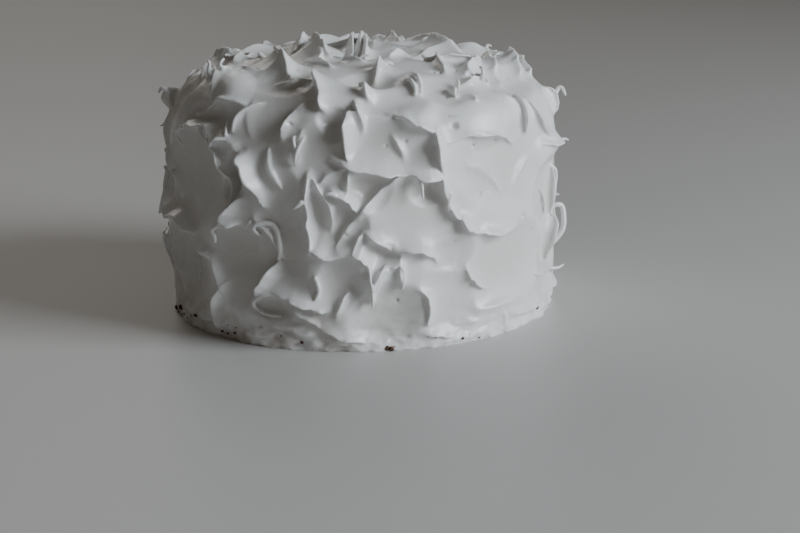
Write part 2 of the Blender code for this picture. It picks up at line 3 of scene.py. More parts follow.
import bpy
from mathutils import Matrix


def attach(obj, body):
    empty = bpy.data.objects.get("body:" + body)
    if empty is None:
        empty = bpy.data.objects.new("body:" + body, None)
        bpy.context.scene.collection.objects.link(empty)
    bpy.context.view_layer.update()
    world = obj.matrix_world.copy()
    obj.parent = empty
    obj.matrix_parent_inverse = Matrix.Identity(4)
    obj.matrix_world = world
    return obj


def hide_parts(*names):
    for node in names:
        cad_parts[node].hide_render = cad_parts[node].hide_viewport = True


# %% [markdown]
# # A layer cake under whipped icing
# The cake is uncut, so all that shows is its thick white coat and a few crumbs that the knife has
# dragged down to the foot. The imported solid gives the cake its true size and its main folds. This
# lesson works out the same icing again, much finer, and adds what a solid of a few thousand faces
# can't hold: thin lips along the crests, hooks, drips, bubbles and smears.

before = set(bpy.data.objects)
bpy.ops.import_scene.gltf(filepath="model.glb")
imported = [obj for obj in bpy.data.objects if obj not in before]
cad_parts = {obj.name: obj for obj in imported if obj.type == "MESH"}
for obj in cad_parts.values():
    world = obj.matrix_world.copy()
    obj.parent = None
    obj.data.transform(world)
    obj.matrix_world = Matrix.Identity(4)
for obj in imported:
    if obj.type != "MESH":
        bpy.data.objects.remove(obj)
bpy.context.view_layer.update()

import math

import bmesh
import bpy
import numpy as np
from mathutils import Matrix, Vector

MM = 0.001

# %% [markdown]
# ## The plain form
# Under its folds the icing is a drum with a soft shoulder. A place on it is given by two numbers, as
# a baker would say it: how far round (an angle, 0 at the front and growing to the right) and how far
# up (a climb along the skin, from the foot, over the shoulder, to the middle of the top). With a
# climb instead of a height, side and top are one surface, and a fold can run over the shoulder.

# %% The outline of the drum
CAKE_RADIUS = 117 * MM  # middle of the iced side
CAKE_HEIGHT = 152 * MM  # middle of the iced top
SIDE_POWER = 4
TOP_POWER = 9
FOOT_TUCK = 4 * MM  # the side draws in by this much at the foot
FOOT_REACH = 18 * MM  # and by a third of that at this height
SHOULDER_START = 0.97  # share of the height above which the points stand closer
SIDE_STEPS = 400
SHOULDER_STEPS = 1000
SMALLEST = 1e-9


def cake_outline():
    """Climb, radius and height up the outline (r / radius)^4 + (z / height)^9 = 1. The foot is drawn
    in by FOOT_TUCK, which fades out upwards as exp(-z / FOOT_REACH)."""
    side = np.linspace(0, SHOULDER_START, SIDE_STEPS)[:-1]
    shoulder = 1 - np.geomspace(1 - SHOULDER_START, SMALLEST, SHOULDER_STEPS)
    rise = np.concatenate([side, shoulder])
    height = CAKE_HEIGHT * rise
    radius = CAKE_RADIUS * (1 - rise**TOP_POWER) ** (1 / SIDE_POWER)
    radius -= FOOT_TUCK * np.exp(-height / FOOT_REACH)
    radius[-1] = 0
    height[-1] = CAKE_HEIGHT
    steps = np.hypot(np.diff(radius), np.diff(height))
    return np.concatenate([[0], np.cumsum(steps)]), radius, height


CLIMB, RADIUS, HEIGHT = cake_outline()
SLOPE_R = np.gradient(RADIUS, CLIMB)
SLOPE_Z = np.gradient(HEIGHT, CLIMB)
print("climb from foot to the middle of the top in mm", round(CLIMB[-1] / MM, 1))


# %% From a place on the skin to a point in space, and back
SEARCH_STEP = 3  # the nearest place is looked for among every third point of the outline


def skin_frame(angle, climb):
    """Point on the plain form and its outward, eastward and upward directions; angle in radians."""
    radius = np.interp(climb, CLIMB, RADIUS)
    height = np.interp(climb, CLIMB, HEIGHT)
    slope = np.hypot(np.interp(climb, CLIMB, SLOPE_R), np.interp(climb, CLIMB, SLOPE_Z))
    up_r = np.interp(climb, CLIMB, SLOPE_R) / slope
    up_z = np.interp(climb, CLIMB, SLOPE_Z) / slope
    east = np.stack(np.broadcast_arrays(np.cos(angle), np.sin(angle), 0 * radius), -1)
    spoke = np.stack(np.broadcast_arrays(np.sin(angle), -np.cos(angle), 0 * radius), -1)
    axis = np.array([0.0, 0.0, 1.0])
    point = spoke * np.expand_dims(radius, -1) + axis * np.expand_dims(height, -1)
    up = spoke * np.expand_dims(up_r, -1) + axis * np.expand_dims(up_z, -1)
    out = spoke * np.expand_dims(up_z, -1) - axis * np.expand_dims(up_r, -1)
    return point, out, east, up


def climb_of(points):
    """Climb of the place on the plain form that is nearest to each point."""
    reach = np.hypot(points[..., 0], points[..., 1])
    inward = reach[..., None] - RADIUS[::SEARCH_STEP]
    upward = points[..., 2][..., None] - HEIGHT[::SEARCH_STEP]
    return CLIMB[::SEARCH_STEP][np.argmin(inward**2 + upward**2, axis=-1)]


def angle_of(points):
    """Angle in radians of each point round the cake: the angle whose tangent is x / -y."""
    return np.arctan2(points[..., 0], -points[..., 1])


print("front of the shoulder in mm", np.round(skin_frame(0.0, 140 * MM)[0] / MM, 1))


# %% Where the drum's axis stands
FOOT_SLICE = 0.05 * MM


def foot_axis():
    """Middle (a, b) of the circle that fits the solid's foot best, by least squares on
    x^2 + y^2 = 2ax + 2by + c."""
    corners = np.array([v.co[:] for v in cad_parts["frosted_cake"].data.vertices])
    foot = corners[corners[:, 2] < FOOT_SLICE]
    foot = foot[np.hypot(foot[:, 0], foot[:, 1]) > CAKE_RADIUS / 2]
    sides = np.column_stack([2 * foot[:, :2], np.ones(len(foot))])
    return np.linalg.lstsq(sides, (foot[:, :2] ** 2).sum(1), rcond=None)[0][:2]


AXIS = np.append(foot_axis(), 0)
print("axis of the drum, off the middle of the box, in mm", np.round(AXIS[:2] / MM, 2))

# %% [markdown]
# ## Pillows, bowls and folds
# Whipped icing takes the shape of the tool. The back of a spoon leaves bowls, the icing that it
# pushes aside stands as pillows, and where a palette knife lifts off it draws up a fold: one gentle
# side, one steep side, and a crest that leans over the steep side. These could be sculpted, or made
# from noise, but noise has no strokes in it. So the front and the top are listed in tables, one row
# to a stroke, and the same words describe every stroke.

# %% Pillows and bowls
# angle, climb, half width, half height, tilt in degrees, rise in mm
PILLOWS = [
    (38, 126, 34, 18, 8, 5.0),
    (-48, 149, 24, 13, -20, 5.0),
    (-26, 34, 22, 16, 20, 1.5),
    (68, 99, 22, 12, 10, 3.5),
    (-8, 157, 34, 10, 0, 2.0),
    (14, 72, 30, 20, -10, 2.0),
]

# angle, climb, half width, half height, tilt in degrees, depth in mm
BOWLS = [
    (47, 98, 36, 22, 5, 4.0),
    (46, 41, 34, 20, 10, 4.0),
    (68, 72, 18, 24, 0, 3.0),
    (72, 34, 18, 22, 0, 2.5),
    (6, 113, 24, 13, -8, 3.0),
    (2.5, 90, 13, 11, 0, 5.0),
    (16, 76, 24, 18, -10, 3.5),
    (-5, 68, 11, 15, -40, 3.5),
    (-12.5, 78, 7, 18, 0, 2.5),
    (-23, 62, 14, 36, 0, 3.0),
    (-12, 111, 13, 14, 0, 2.0),
    (-26, 124, 16, 18, 0, 1.5),
    (-15, 107, 6, 10, 0, 1.5),
    (-37.8, 97, 7, 17, -22, 6.5),
    (-57, 92, 28, 26, 0, 4.0),
    (-50, 127, 20, 8, 0, 4.5),
    (-36, 46, 20, 22, 0, 4.0),
    (-63, 33, 26, 20, 0, 3.5),
    (-26.5, 23, 12, 6, 0, 3.0),
    (-6, 38, 12, 14, 0, 4.5),
    (6, 20, 19, 18, 0, 4.0),
    (25, 28, 16, 20, 0, 2.5),
    (25, 51, 14, 9, 0, 3.0),
    (18, 86, 12, 9, 0, 6.0),
    (5, 55, 9, 6, 0, 3.5),
    (-8, 127, 9, 11, 0, 5.0),
    (10, 140, 16, 9, 0, 3.0),
    (-80, 80, 16, 22, 0, 3.0),
    (-76, 140, 14, 16, 0, 3.0),
    (62, 148, 22, 12, 0, 3.0),
    (28, 150, 16, 12, 0, 3.0),
    (-28, 160, 18, 14, 0, 3.0),
    (3, 162, 14, 10, 0, 3.5),
]
print("pillows", len(PILLOWS), "bowls", len(BOWLS))

# %% Folds given in tables
# From angle, climb to angle, climb, then in mm the bend of the path to its left, the crest's height,
# the reach of the gentle left side and of the steep right side, and the lean.
LEFT_FOLDS = [
    (-40.5, 114.5, -27.5, 81.5, 6.5, 10.0, 4, 2.2, 0.8),
    (-38.5, 77, -46.5, 110, -5.0, 8.0, 2.6, 2.4, 0.3),
    (-46.5, 108.5, -39.5, 116, 2.0, 7.0, 3, 3, 1.0),
    (-62, 118.5, -42, 115, 4.0, 7.0, 5, 3, 3.0),
    (-31.5, 140, -38.5, 119, -1.5, 2.5, 2.0, 2.0, 0.3),
    (-58, 127, -37, 137, 2.0, 4.5, 9, 5, 0.5),
    (-61, 164, -50.5, 138, 0.0, 4.5, 8, 4, 1.0),
    (-34.5, 140, -32.5, 120, -2.0, 2.0, 6, 1.8, 0.3),
    (-43.5, 66.5, -34.5, 69, 2.5, 7.5, 4, 2.2, 2.0),
    (-35, 84.5, -42.5, 67.5, 2.0, 9.5, 5, 3, 1.0),
    (-30.5, 73, -22.5, 52, 3.0, 4.0, 3, 2.5, 1.0),
    (-77, 72.5, -53.5, 60, 0.0, 8.5, 5, 3, 2.0),
    (-53.5, 60.5, -46, 45, -1.5, 6.0, 2.5, 2.5, 0.5),
    (-46.5, 48, -41, 24, 0.0, 5.0, 2.5, 2.5, 0.5),
    (-42, 33, -46, 7, 0.0, 7.0, 3.5, 3, 0.5),
    (-24, 49, -31.2, 27, 0.0, 7.0, 5, 3, 1.5),
    (-28.5, 31.5, -11, 24, 5.5, 7.0, 6, 2.5, 3.0),
    (-21.5, 29, -11.8, 14, 0.0, 3.5, 3, 2.5, 1.0),
    (-80, 105, -66, 78, 3.0, 4.0, 5, 4, 0.5),
    (-88, 121, -80, 96, 0.0, 3.0, 5, 5, 0.5),
    (-76, 40, -66, 18, 3.0, 3.5, 5, 5, 0.5),
    (-84, 92, -74, 66, 2.0, 3.0, 4, 4, 0.5),
]
MIDDLE_FOLDS = [
    (-13.9, 57, -14.4, 98.5, 0.0, 7.5, 10, 4, -2.5),
    (-14, 59, -8.5, 53, -1.0, 5.0, 6, 3, 1.0),
    (-9, 53, 1.5, 51, 5.0, 7.5, 8, 3.5, 2.5),
    (2, 28, 1.2, 50, 0.0, 5.0, 5, 2.5, 1.0),
    (7, 50, 2.4, 28, -2.4, 5.5, 6, 2.5, 1.0),
    (-8.5, 70, -14.5, 98, -3.7, 5.0, 3, 5, 0.5),
    (-8.5, 91.5, -0.2, 75, 3.0, 7.0, 4, 3, 1.5),
    (-4.3, 87, -3.8, 101, 0.0, 4.0, 4, 3, 0.5),
    (11, 98, -7, 59, -2.6, 6.5, 7, 3, 1.5),
    (-8, 107.5, 13, 99.5, 0.0, 7.0, 12, 4.5, 3.0),
    (13, 99.5, 23, 94.5, 1.5, 8.0, 9, 5, 3.0),
    (-3, 134, -3.4, 108, 0.0, 8.0, 9, 2.5, 2.5),
    (0.8, 124, -3, 133, -1.5, 5.0, 4, 2.5, 1.5),
    (-1.2, 143, 0.6, 126, 0.0, 5.0, 4, 3, 1.0),
    (-17, 122, -17.3, 106, 0.0, 3.0, 2.4, 2.2, 0.3),
    (-17.5, 138, -22.5, 117, -2.0, 5.0, 6, 3, 1.0),
    (-4, 104, -17, 88, 0.0, 3.0, 5, 5, 0.0),
    (0.5, 68, 10, 56, -1.0, 5.0, 5, 4, 0.5),
    (0.5, 67, -3, 55, 0.0, 4.0, 4, 4, 0.0),
    (9, 56.5, 21, 50.5, 4.0, 5.5, 7, 3, 1.0),
    (10.3, 54, 10.8, 36, 0.0, 3.5, 4, 2.5, 0.5),
    (6.5, 48, 10.5, 50.5, 1.2, 4.0, 4, 3, 1.0),
    (15.5, 34, 18, 15, 3.9, 5.0, 7, 3, 1.0),
    (-12, 13, 6, 3, 0.0, 3.5, 5, 2.5, 0.5),
    (14, 9, 29, 4, 0.0, 3.0, 5, 2, 0.5),
    (-4.3, 33, -7.5, 20, 0.0, 4.0, 4, 4, 0.0),
    (9, 120, 12, 106, 0.0, 3.0, 6, 3, 0.5),
]
RIGHT_FOLDS = [
    (8.5, 133, 20.8, 122, 0.0, 7.0, 12, 3.5, 2.5),
    (20.8, 122, 22.6, 98, 0.0, 7.5, 12, 3.0, 2.5),
    (22.4, 100, 28.8, 71, -3.8, 7.5, 11, 4.5, 2.0),
    (28.5, 73, 33, 62.5, -1.5, 7.0, 9, 4, 2.0),
    (32, 62.5, 49, 61.5, -0.5, 5.5, 9, 5, 1.5),
    (23.5, 114, 49, 110, 5.5, 4.0, 12, 1.8, 0.8),
    (54.5, 137, 55.5, 113, -1.0, 5.0, 5, 2.5, 1.5),
    (47.5, 140, 52.5, 128, 0.0, 3.0, 4, 4, 0.0),
    (74, 88, 75, 56, 0.0, 5.0, 5, 3, 1.0),
    (64, 103, 84, 100, 0.0, 5.0, 6, 4, 1.0),
    (31, 101, 43, 82, 4.0, 3.0, 8, 6, 0.0),
    (50, 84, 60, 100, 4.0, 3.0, 8, 6, 0.0),
    (30, 45, 37.5, 29, -3.0, 4.0, 6, 5, 0.0),
    (33, 20, 51, 22, -2.0, 3.5, 6, 6, 0.0),
    (44, 11, 46, 1, 0.0, 3.0, 2, 6, 0.0),
    (77, 60, 72, 32, -4.0, 8.0, 5, 4, 1.0),
    (60, 30, 80, 24, 0.0, 4.0, 6, 4, 0.5),
    (82, 131, 84, 116, 0.0, 7.0, 7, 5, 0.5),
    (60, 132, 70, 104, -4.0, 4.0, 5, 3, 1.0),
    (64, 78, 70, 60, 0.0, 3.5, 4, 4, 0.5),
]
TOP_FOLDS = [
    (-18, 170, -10.5, 136, 0.0, 8.0, 10, 3.5, 2.0),
    (-57, 160, -43, 167, 0.0, 5.0, 6, 10, 0.0),
    (-33, 160, -19, 165, -1.0, 4.5, 5, 8, 0.0),
    (-64, 152, -62, 155, 0.0, 5.0, 4, 4, 0.0),
    (-55, 154, -53.5, 157, 0.0, 5.0, 4, 4, 0.0),
    (-67, 194, -27, 163, 0.0, 14.0, 9, 14, 1.0),
    (-38, 218, -128, 206, 0.0, 12.0, 10, 9, -0.5),
    (-112, 204, -150, 190, 0.0, 10.0, 9, 9, 0.5),
    (-34, 238, -168, 214, 0.0, 10.0, 4, 4, 0.5),
    (-10, 239, 179, 208, 0.0, 11.0, 4, 5, 0.5),
    (6, 222, 177, 210, 0.0, 10.0, 7, 4, 0.5),
    (166, 184, 122, 211, 0.0, 10.0, 10, 9, 0.0),
    (146, 214, 72, 182, 2.0, 12.0, 14, 16, 0.0),
    (52, 193, 37, 167, 0.0, 6.5, 7, 4, 1.0),
    (43, 161, 66, 171, 0.0, 9.0, 8, 6, 0.5),
    (70, 173, 57, 150, -1.0, 10.0, 9, 6, 0.5),
    (90, 165, 74, 150, 0.0, 10.5, 8, 7, 0.0),
    (98, 160, 80, 144, 0.0, 8.0, 5, 4, 0.0),
    (12, 187, 6, 166, 0.0, 9.0, 8, 6, 0.5),
    (21, 167, 18.5, 146, 0.0, 6.5, 5, 6, 0.5),
    (0, 161, 3.2, 145, 0.0, 7.0, 7, 4, 1.5),
    (31, 151, 32, 143, 0.0, 4.0, 4, 2.5, 1.0),
    (35, 151, 46, 154, 0.0, 4.5, 5, 4, 0.5),
    (46, 157, 48, 149, 0.0, 4.0, 4, 3, 0.5),
    (37, 142, 35.5, 135, 0.0, 2.5, 2.5, 1.8, 0.5),
    (-85, 180, -70, 170, 0.0, 6.0, 6, 6, 0.5),
    (-90, 162, -76, 150, 0.0, 5.0, 5, 5, 0.5),
    (-12, 205, 2, 196, 0.0, 6.0, 6, 4, 1.0),
    (-40, 196, -14, 182, 0.0, 5.5, 7, 5, 1.0),
    (24, 206, 52, 212, 0.0, 6.0, 7, 5, 1.0),
    (118, 186, 108, 166, 0.0, 7.0, 7, 6, 1.0),
    (152, 176, 140, 160, 0.0, 7.0, 7, 5, 1.5),
    (-120, 178, -138, 164, 0.0, 7.0, 6, 8, 1.0),
    (-168, 186, 174, 170, 0.0, 8.0, 7, 7, 1.5),
    (176, 164, -172, 150, 0.0, 6.0, 8, 4, 1.5),
    (-104, 170, -112, 148, 0.0, 6.0, 8, 4, 1.5),
]
SIDE_FOLDS = LEFT_FOLDS + MIDDLE_FOLDS + RIGHT_FOLDS
print("strokes laid by hand", len(SIDE_FOLDS + TOP_FOLDS))

# %% [markdown]
# ## Strokes on the far side
# One hand ices the whole cake, so the same strokes come round again at the back, though never quite
# in the same places. A smooth sway turns each place half way round and shifts it: strokes that meet
# still meet, and the pattern is a new one. Strokes drawn at random would look like dimples instead.
# The gaps that are left get seeded bowls, well apart, each with one or two folds along its rim and
# the gentle side towards the bowl.

# %% The same strokes half way round
FAR_SWAY = 8  # degrees
FAR_RISE = 0.09  # share of the climb
FAR_WAVE = 30  # mm of climb for each radian of the sway
FAR_CREST = 0.2
SIDE_TOP = 145  # strokes that start above this climb in mm belong to the top


def far_place(angle, climb):
    """A place half way round the cake, moved by the sine of twice its angle plus its climb, and
    raised by the sine of three times its angle less its climb, so that neighbours shift alike."""
    sway = np.sin(np.radians(2 * angle) + climb / FAR_WAVE)
    rise = np.sin(np.radians(3 * angle) - climb / FAR_WAVE)
    return angle + 180 + FAR_SWAY * sway, climb * (1 + FAR_RISE * rise)


def far_folds(rows):
    """Rows of a fold table moved half way round, each crest times 1 + FAR_CREST * the sine of five
    times its angle, so that some are higher and some lower."""
    far = []
    for start_angle, start_climb, end_angle, end_climb, bend, crest, *rest in rows:
        grown = crest * (1 + FAR_CREST * np.sin(np.radians(5 * start_angle)))
        places = (*far_place(start_angle, start_climb), *far_place(end_angle, end_climb))
        far.append((*places, bend, grown, *rest))
    return far


def far_ellipses(rows):
    """Rows of the pillows or bowls on the side, moved half way round."""
    return [(*far_place(*row[:2]), *row[2:]) for row in rows if row[1] < SIDE_TOP]


print("the front's middle comes round at", np.round(far_place(0, 75), 1))

# %% Seeded bowls, well apart
WILD_SIDE_BOWLS = 7
WILD_TOP_BOWLS = 12
WILD_ANGLES = (90, 270)
WILD_SIDE_CLIMBS = (8, 138)
WILD_TOP_CLIMBS = (150, 240)
WILD_TRIES = 30
WILD_BOWL_SIZE = (12, 24)
WILD_BOWL_DEPTH = (3, 5)


def ellipse(angle, climb, half_width, half_height, tilt, size):
    """A pillow or bowl as (centre, outward direction, across / half width, along / half height,
    size), where across and along are the ellipse's two directions, tilted from east and up."""
    centre, out, east, up = skin_frame(np.radians(angle), climb * MM)
    turn = np.radians(tilt)
    across = (east * np.cos(turn) + up * np.sin(turn)) / (half_width * MM)
    along = (up * np.cos(turn) - east * np.sin(turn)) / (half_height * MM)
    return centre, out, across, along, size * MM


def spread_bowls(random, count, angles, climbs, taken):
    """Bowls well apart from each other: for each, the best of several places tried."""
    bowls = []
    for _ in range(count):
        tries = [(random.uniform(*angles), random.uniform(*climbs)) for _ in range(WILD_TRIES)]
        spots = [skin_frame(np.radians(angle), climb * MM)[0] for angle, climb in tries]
        others = np.array(taken + [bowl[0] for bowl in bowls])
        room = [np.linalg.norm(others - spot, axis=1).min() for spot in spots]
        angle, climb = tries[int(np.argmax(room))]
        sizes = [random.uniform(*WILD_BOWL_SIZE) for _ in range(2)]
        tilt = random.uniform(0, 180)
        bowls.append(ellipse(angle, climb, *sizes, tilt, random.uniform(*WILD_BOWL_DEPTH)))
    return bowls


print("seeded bowls on the side", WILD_SIDE_BOWLS, "and on the top", WILD_TOP_BOWLS)

# %% Folds round the seeded bowls
WILD_RIM_SPAN = (80, 170)  # degrees of a bowl's rim that a fold follows
WILD_CREST = (4.0, 7.5)
WILD_GENTLE = (5, 10)
WILD_STEEP = (2.2, 3.5)
WILD_LEAN = (0.5, 3.0)


def rim_folds(random, bowls):
    """One or two folds along each bowl's rim, centre + cos a * across + sin a * along, anticlockwise
    from outside, so that the bowl is on their left."""
    folds = []
    for centre, _, across, along, _ in bowls:
        across = across / (across @ across)
        along = along / (along @ along)
        first = random.uniform(0, 2 * np.pi)
        for turn in (0, np.pi)[: random.integers(1, 3)]:
            span = np.radians(random.uniform(*WILD_RIM_SPAN))
            turns = first + turn + np.array([0, span / 2, span])
            start, middle, end = (np.cos(a) * across + np.sin(a) * along + centre for a in turns)
            bulge = np.linalg.norm(middle - (start + end) / 2)
            ranges = (WILD_CREST, WILD_GENTLE, WILD_STEEP, WILD_LEAN)
            sizes = [random.uniform(*limits) * MM for limits in ranges]
            folds.append((start, end, -bulge, *sizes))
    return folds


print("crests on the seeded rims in mm", WILD_CREST)

# %% Smears over the foot
FOOT_FOLDS = 34
FOOT_CLIMBS = (3, 13)
FOOT_SPANS = (4, 13)  # degrees round the foot
FOOT_SLANT = (-2, 2)
FOOT_CREST = (1.6, 3.2)
FOOT_REST = (4, 2, 0.8)  # gentle and steep reach, and lean


def foot_folds(random):
    """Short level smears just over the foot, anticlockwise from above, so their gentle side is up."""
    folds = []
    for _ in range(FOOT_FOLDS):
        angle, climb = random.uniform(-180, 180), random.uniform(*FOOT_CLIMBS)
        onward = random.uniform(*FOOT_SPANS)
        start = skin_frame(np.radians(angle), climb * MM)[0]
        end_climb = climb + random.uniform(*FOOT_SLANT)
        end = skin_frame(np.radians(angle + onward), end_climb * MM)[0]
        sizes = (0, random.uniform(*FOOT_CREST), *FOOT_REST)
        folds.append((start, end, *(size * MM for size in sizes)))
    return folds


print("smears at the foot", FOOT_FOLDS)

# %% Lay all the strokes
WILD_SEED = 11


def hand_laid(rows):
    """Rows of the fold tables as (start point, end point, bend, crest, gentle, steep, lean) in metres."""
    folds = []
    for start_angle, start_climb, end_angle, end_climb, *sizes in rows:
        start = skin_frame(np.radians(start_angle), start_climb * MM)[0]
        end = skin_frame(np.radians(end_angle), end_climb * MM)[0]
        folds.append((start, end, *(size * MM for size in sizes)))
    return folds


random = np.random.default_rng(WILD_SEED)
folds = hand_laid(SIDE_FOLDS + TOP_FOLDS + far_folds(SIDE_FOLDS))
pillows = [ellipse(*row) for row in PILLOWS + far_ellipses(PILLOWS)]
bowls = [ellipse(*row) for row in BOWLS + far_ellipses(BOWLS)]
taken = [bowl[0] for bowl in bowls] + [(fold[0] + fold[1]) / 2 for fold in folds]
side_bowls = spread_bowls(random, WILD_SIDE_BOWLS, WILD_ANGLES, WILD_SIDE_CLIMBS, taken)
taken += [bowl[0] for bowl in side_bowls]
top_bowls = spread_bowls(random, WILD_TOP_BOWLS, (-180, 180), WILD_TOP_CLIMBS, taken)
rims = rim_folds(random, side_bowls + top_bowls)
bowls += side_bowls + top_bowls
print("bowls", len(bowls), "hand-laid folds", len(folds), "folds on seeded rims", len(rims))

# %% [markdown]
# ## From strokes to a height
# Each stroke becomes a height over the plain form. A pillow is a low cap. A bowl is a paraboloid, and
# the lowest bowl wins, so a crest is left where two bowls meet. A fold falls off its crest as a
# tent's cloth does, fast at first and then ever slower, because that is how sticky icing stretches.
# Hand-made lines are never straight, so the places are first pushed about by a slow smooth wander.

# %% Small shared curves
WAVES = 9
WAVE_SPREAD = (0.7, 1.4)
WAVINESS = (0.7 * MM, 24 * MM)  # how far hand-made lines wander, and over what length
UNEVENNESS = (1.2 * MM, 70 * MM)
LATTICE = 32
TILTED = np.array(Matrix.Rotation(0.7, 3, (0.4, 0.8, 0.3)))  # turns the noise off the cake's axes


def smooth(x):
    """0 to 1 with level ends: x^2 (3 - 2x)."""
    x = np.clip(x, 0, 1)
    return x * x * (3 - 2 * x)


def draw_waves(random, size, length):
    """Waves of about one length in random directions, as (wave vector, shift, push)."""
    waves = []
    for _ in range(WAVES):
        wave = random.normal(size=3)
        wave *= 2 * np.pi / length / np.linalg.norm(wave) * random.uniform(*WAVE_SPREAD)
        waves.append((wave, random.uniform(0, 2 * np.pi), random.normal(size=3) * size / 3))
    return waves


def wander(points, waves):
    """Sum over the waves of push * sin(wave . point + shift)."""
    return sum(np.sin(points @ wave + shift)[:, None] * push for wave, shift, push in waves)


def noise_height(points, length, seed):
    """Value noise from -1 to 1: random numbers on a cubic lattice of this spacing, blended smoothly."""
    lattice = np.random.default_rng(seed).uniform(-1, 1, (LATTICE,) * 3)
    place = points @ TILTED / length
    cell = np.floor(place).astype(int)
    t = smooth(place - cell)
    total = np.zeros(len(points))
    for corner in np.ndindex(2, 2, 2):
        weight = np.prod(np.where(corner, t, 1 - t), axis=-1)
        total += weight * lattice[tuple(((cell + corner) % LATTICE).T)]
    return total


side_wander = draw_waves(random, *WAVINESS)
slow_wander = draw_waves(random, *UNEVENNESS)
front = skin_frame(0.0, CAKE_HEIGHT / 2)[0][None]
print("wander at the middle of the front in mm", np.round(wander(front, side_wander)[0] / MM, 2))


# %% The path of a fold
PATH_POINTS = 13
PATH_SOFTNESS = 3 * MM  # how smoothly the nearest place moves along a bent path


def fold_path(start, end, bend):
    """A bowed line over the skin, (1 - t)^2 start + 2t(1 - t) middle + t^2 end, put back on the skin:
    its points and the directions to its left."""
    out = skin_frame(angle_of((start + end) / 2), climb_of((start + end) / 2))[1]
    left = np.cross(out, end - start)
    left /= np.linalg.norm(left)
    middle = (start + end) / 2 + 2 * bend * left
    t = np.linspace(0, 1, PATH_POINTS)[:, None]
    line = (1 - t) ** 2 * start + 2 * t * (1 - t) * middle + t**2 * end
    points, outs, _, _ = skin_frame(angle_of(line), climb_of(line))
    lefts = np.cross(outs, np.gradient(points, axis=0))
    return points, lefts / np.linalg.norm(lefts, axis=1, keepdims=True)


def nearest_on_path(points, path, lefts):
    """Distance to a path, share of the way along it, unit direction off it, and its left, per point.
    All but the distance are averages over the nearer stretches, so they turn smoothly."""
    steps = np.diff(path, axis=0)
    away = points[:, None] - path[None, :-1]
    t = np.clip((away * steps).sum(-1) / (steps * steps).sum(-1), 0, 1)
    away -= t[..., None] * steps
    squared = (away * away).sum(-1)
    nearest = squared.min(1, keepdims=True)
    weight = np.exp((nearest - squared) / PATH_SOFTNESS**2)
    weight /= weight.sum(1, keepdims=True)
    share = (weight * (t + np.arange(len(steps)))).sum(1) / len(steps)
    off = (weight[..., None] * away).sum(1)
    left = (weight[..., None] * (lefts[:-1] + t[..., None] * np.diff(lefts, axis=0))).sum(1)
    off /= np.maximum(np.linalg.norm(off, axis=1, keepdims=True), SMALLEST)
    return np.sqrt(nearest[:, 0]), share, off, left


folds += foot_folds(random) + rims
fold_paths = [fold_path(*fold[:3]) for fold in folds]
print("paths", len(fold_paths))


# %% Height of the pillows and bowls
PILLOW_POWER = 1.5
BOWL_CAP = 1.5 * MM  # the skin between bowls rises no further than this
BOWL_BLEND = 0.8 * MM  # softens the crest where two bowls meet
BOWL_EDGE = 3  # a bowl's curve is followed out to this many times its rim
BOWL_REACH = 60 * MM
SAME_SIDE = 0.2  # a stroke acts where the skin faces its way by at least this cosine
FAR_AWAY = 9


def ellipse_share(points, outs, shape):
    """How far out each point is on an ellipse: 0 at its centre, 1 at its rim, FAR_AWAY behind it."""
    centre, out, across, along, _ = shape
    away = points - centre
    share = np.hypot(away @ across, away @ along)
    return np.where(outs @ out > SAME_SIDE, share, FAR_AWAY)


def pillow_height(points, outs):
    """Sum of caps rise * (1 - share^2)^PILLOW_POWER."""
    height = np.zeros(len(points))
    for shape in pillows:
        cap = np.clip(1 - ellipse_share(points, outs, shape) ** 2, 0, 1)
        height += shape[-1] * cap**PILLOW_POWER
    return height


def bowl_height(points, outs):
    """Lowest of the bowls' paraboloids depth * (share^2 - 1), with softened joins."""
    height = np.full(len(points), BOWL_CAP)
    for shape in bowls:
        near = np.flatnonzero(np.linalg.norm(points - shape[0], axis=1) < BOWL_REACH)
        share = ellipse_share(points[near], outs[near], shape)
        here = shape[-1] * (np.minimum(share, BOWL_EDGE) ** 2 - 1)
        other = height[near]
        height[near] = (here + other - np.sqrt((here - other) ** 2 + BOWL_BLEND**2)) / 2
    return height


print("deepest bowl in mm", round(max(shape[-1] for shape in bowls) / MM, 1))

# %% Height of the folds
CREST_ROUNDING = 0.25 * MM
STEEP_LEAST = 1.8 * MM
FLANK_FALL = 1.6
FLANK_TAIL = 2.2  # a flank has died out at this many times its reach
BLADE_SHARE = 0.45  # share of the crest that is a thin blade standing on the flanks
BLADE_REACH = 1.3 * MM
BLUNT_STEEP = 5 * MM  # a fold with a steep side wider than this is blunt and has less of a blade
END_SHARE = 0.45  # a crest starts and ends at this share of its height
END_REACH = 0.35  # and is full after this share of its length
BLEND_POWER = 3


def end_taper(share):
    """Share of its height that a crest has at this share of its length from an end."""
    return END_SHARE + (1 - END_SHARE) * smooth(share / END_REACH)


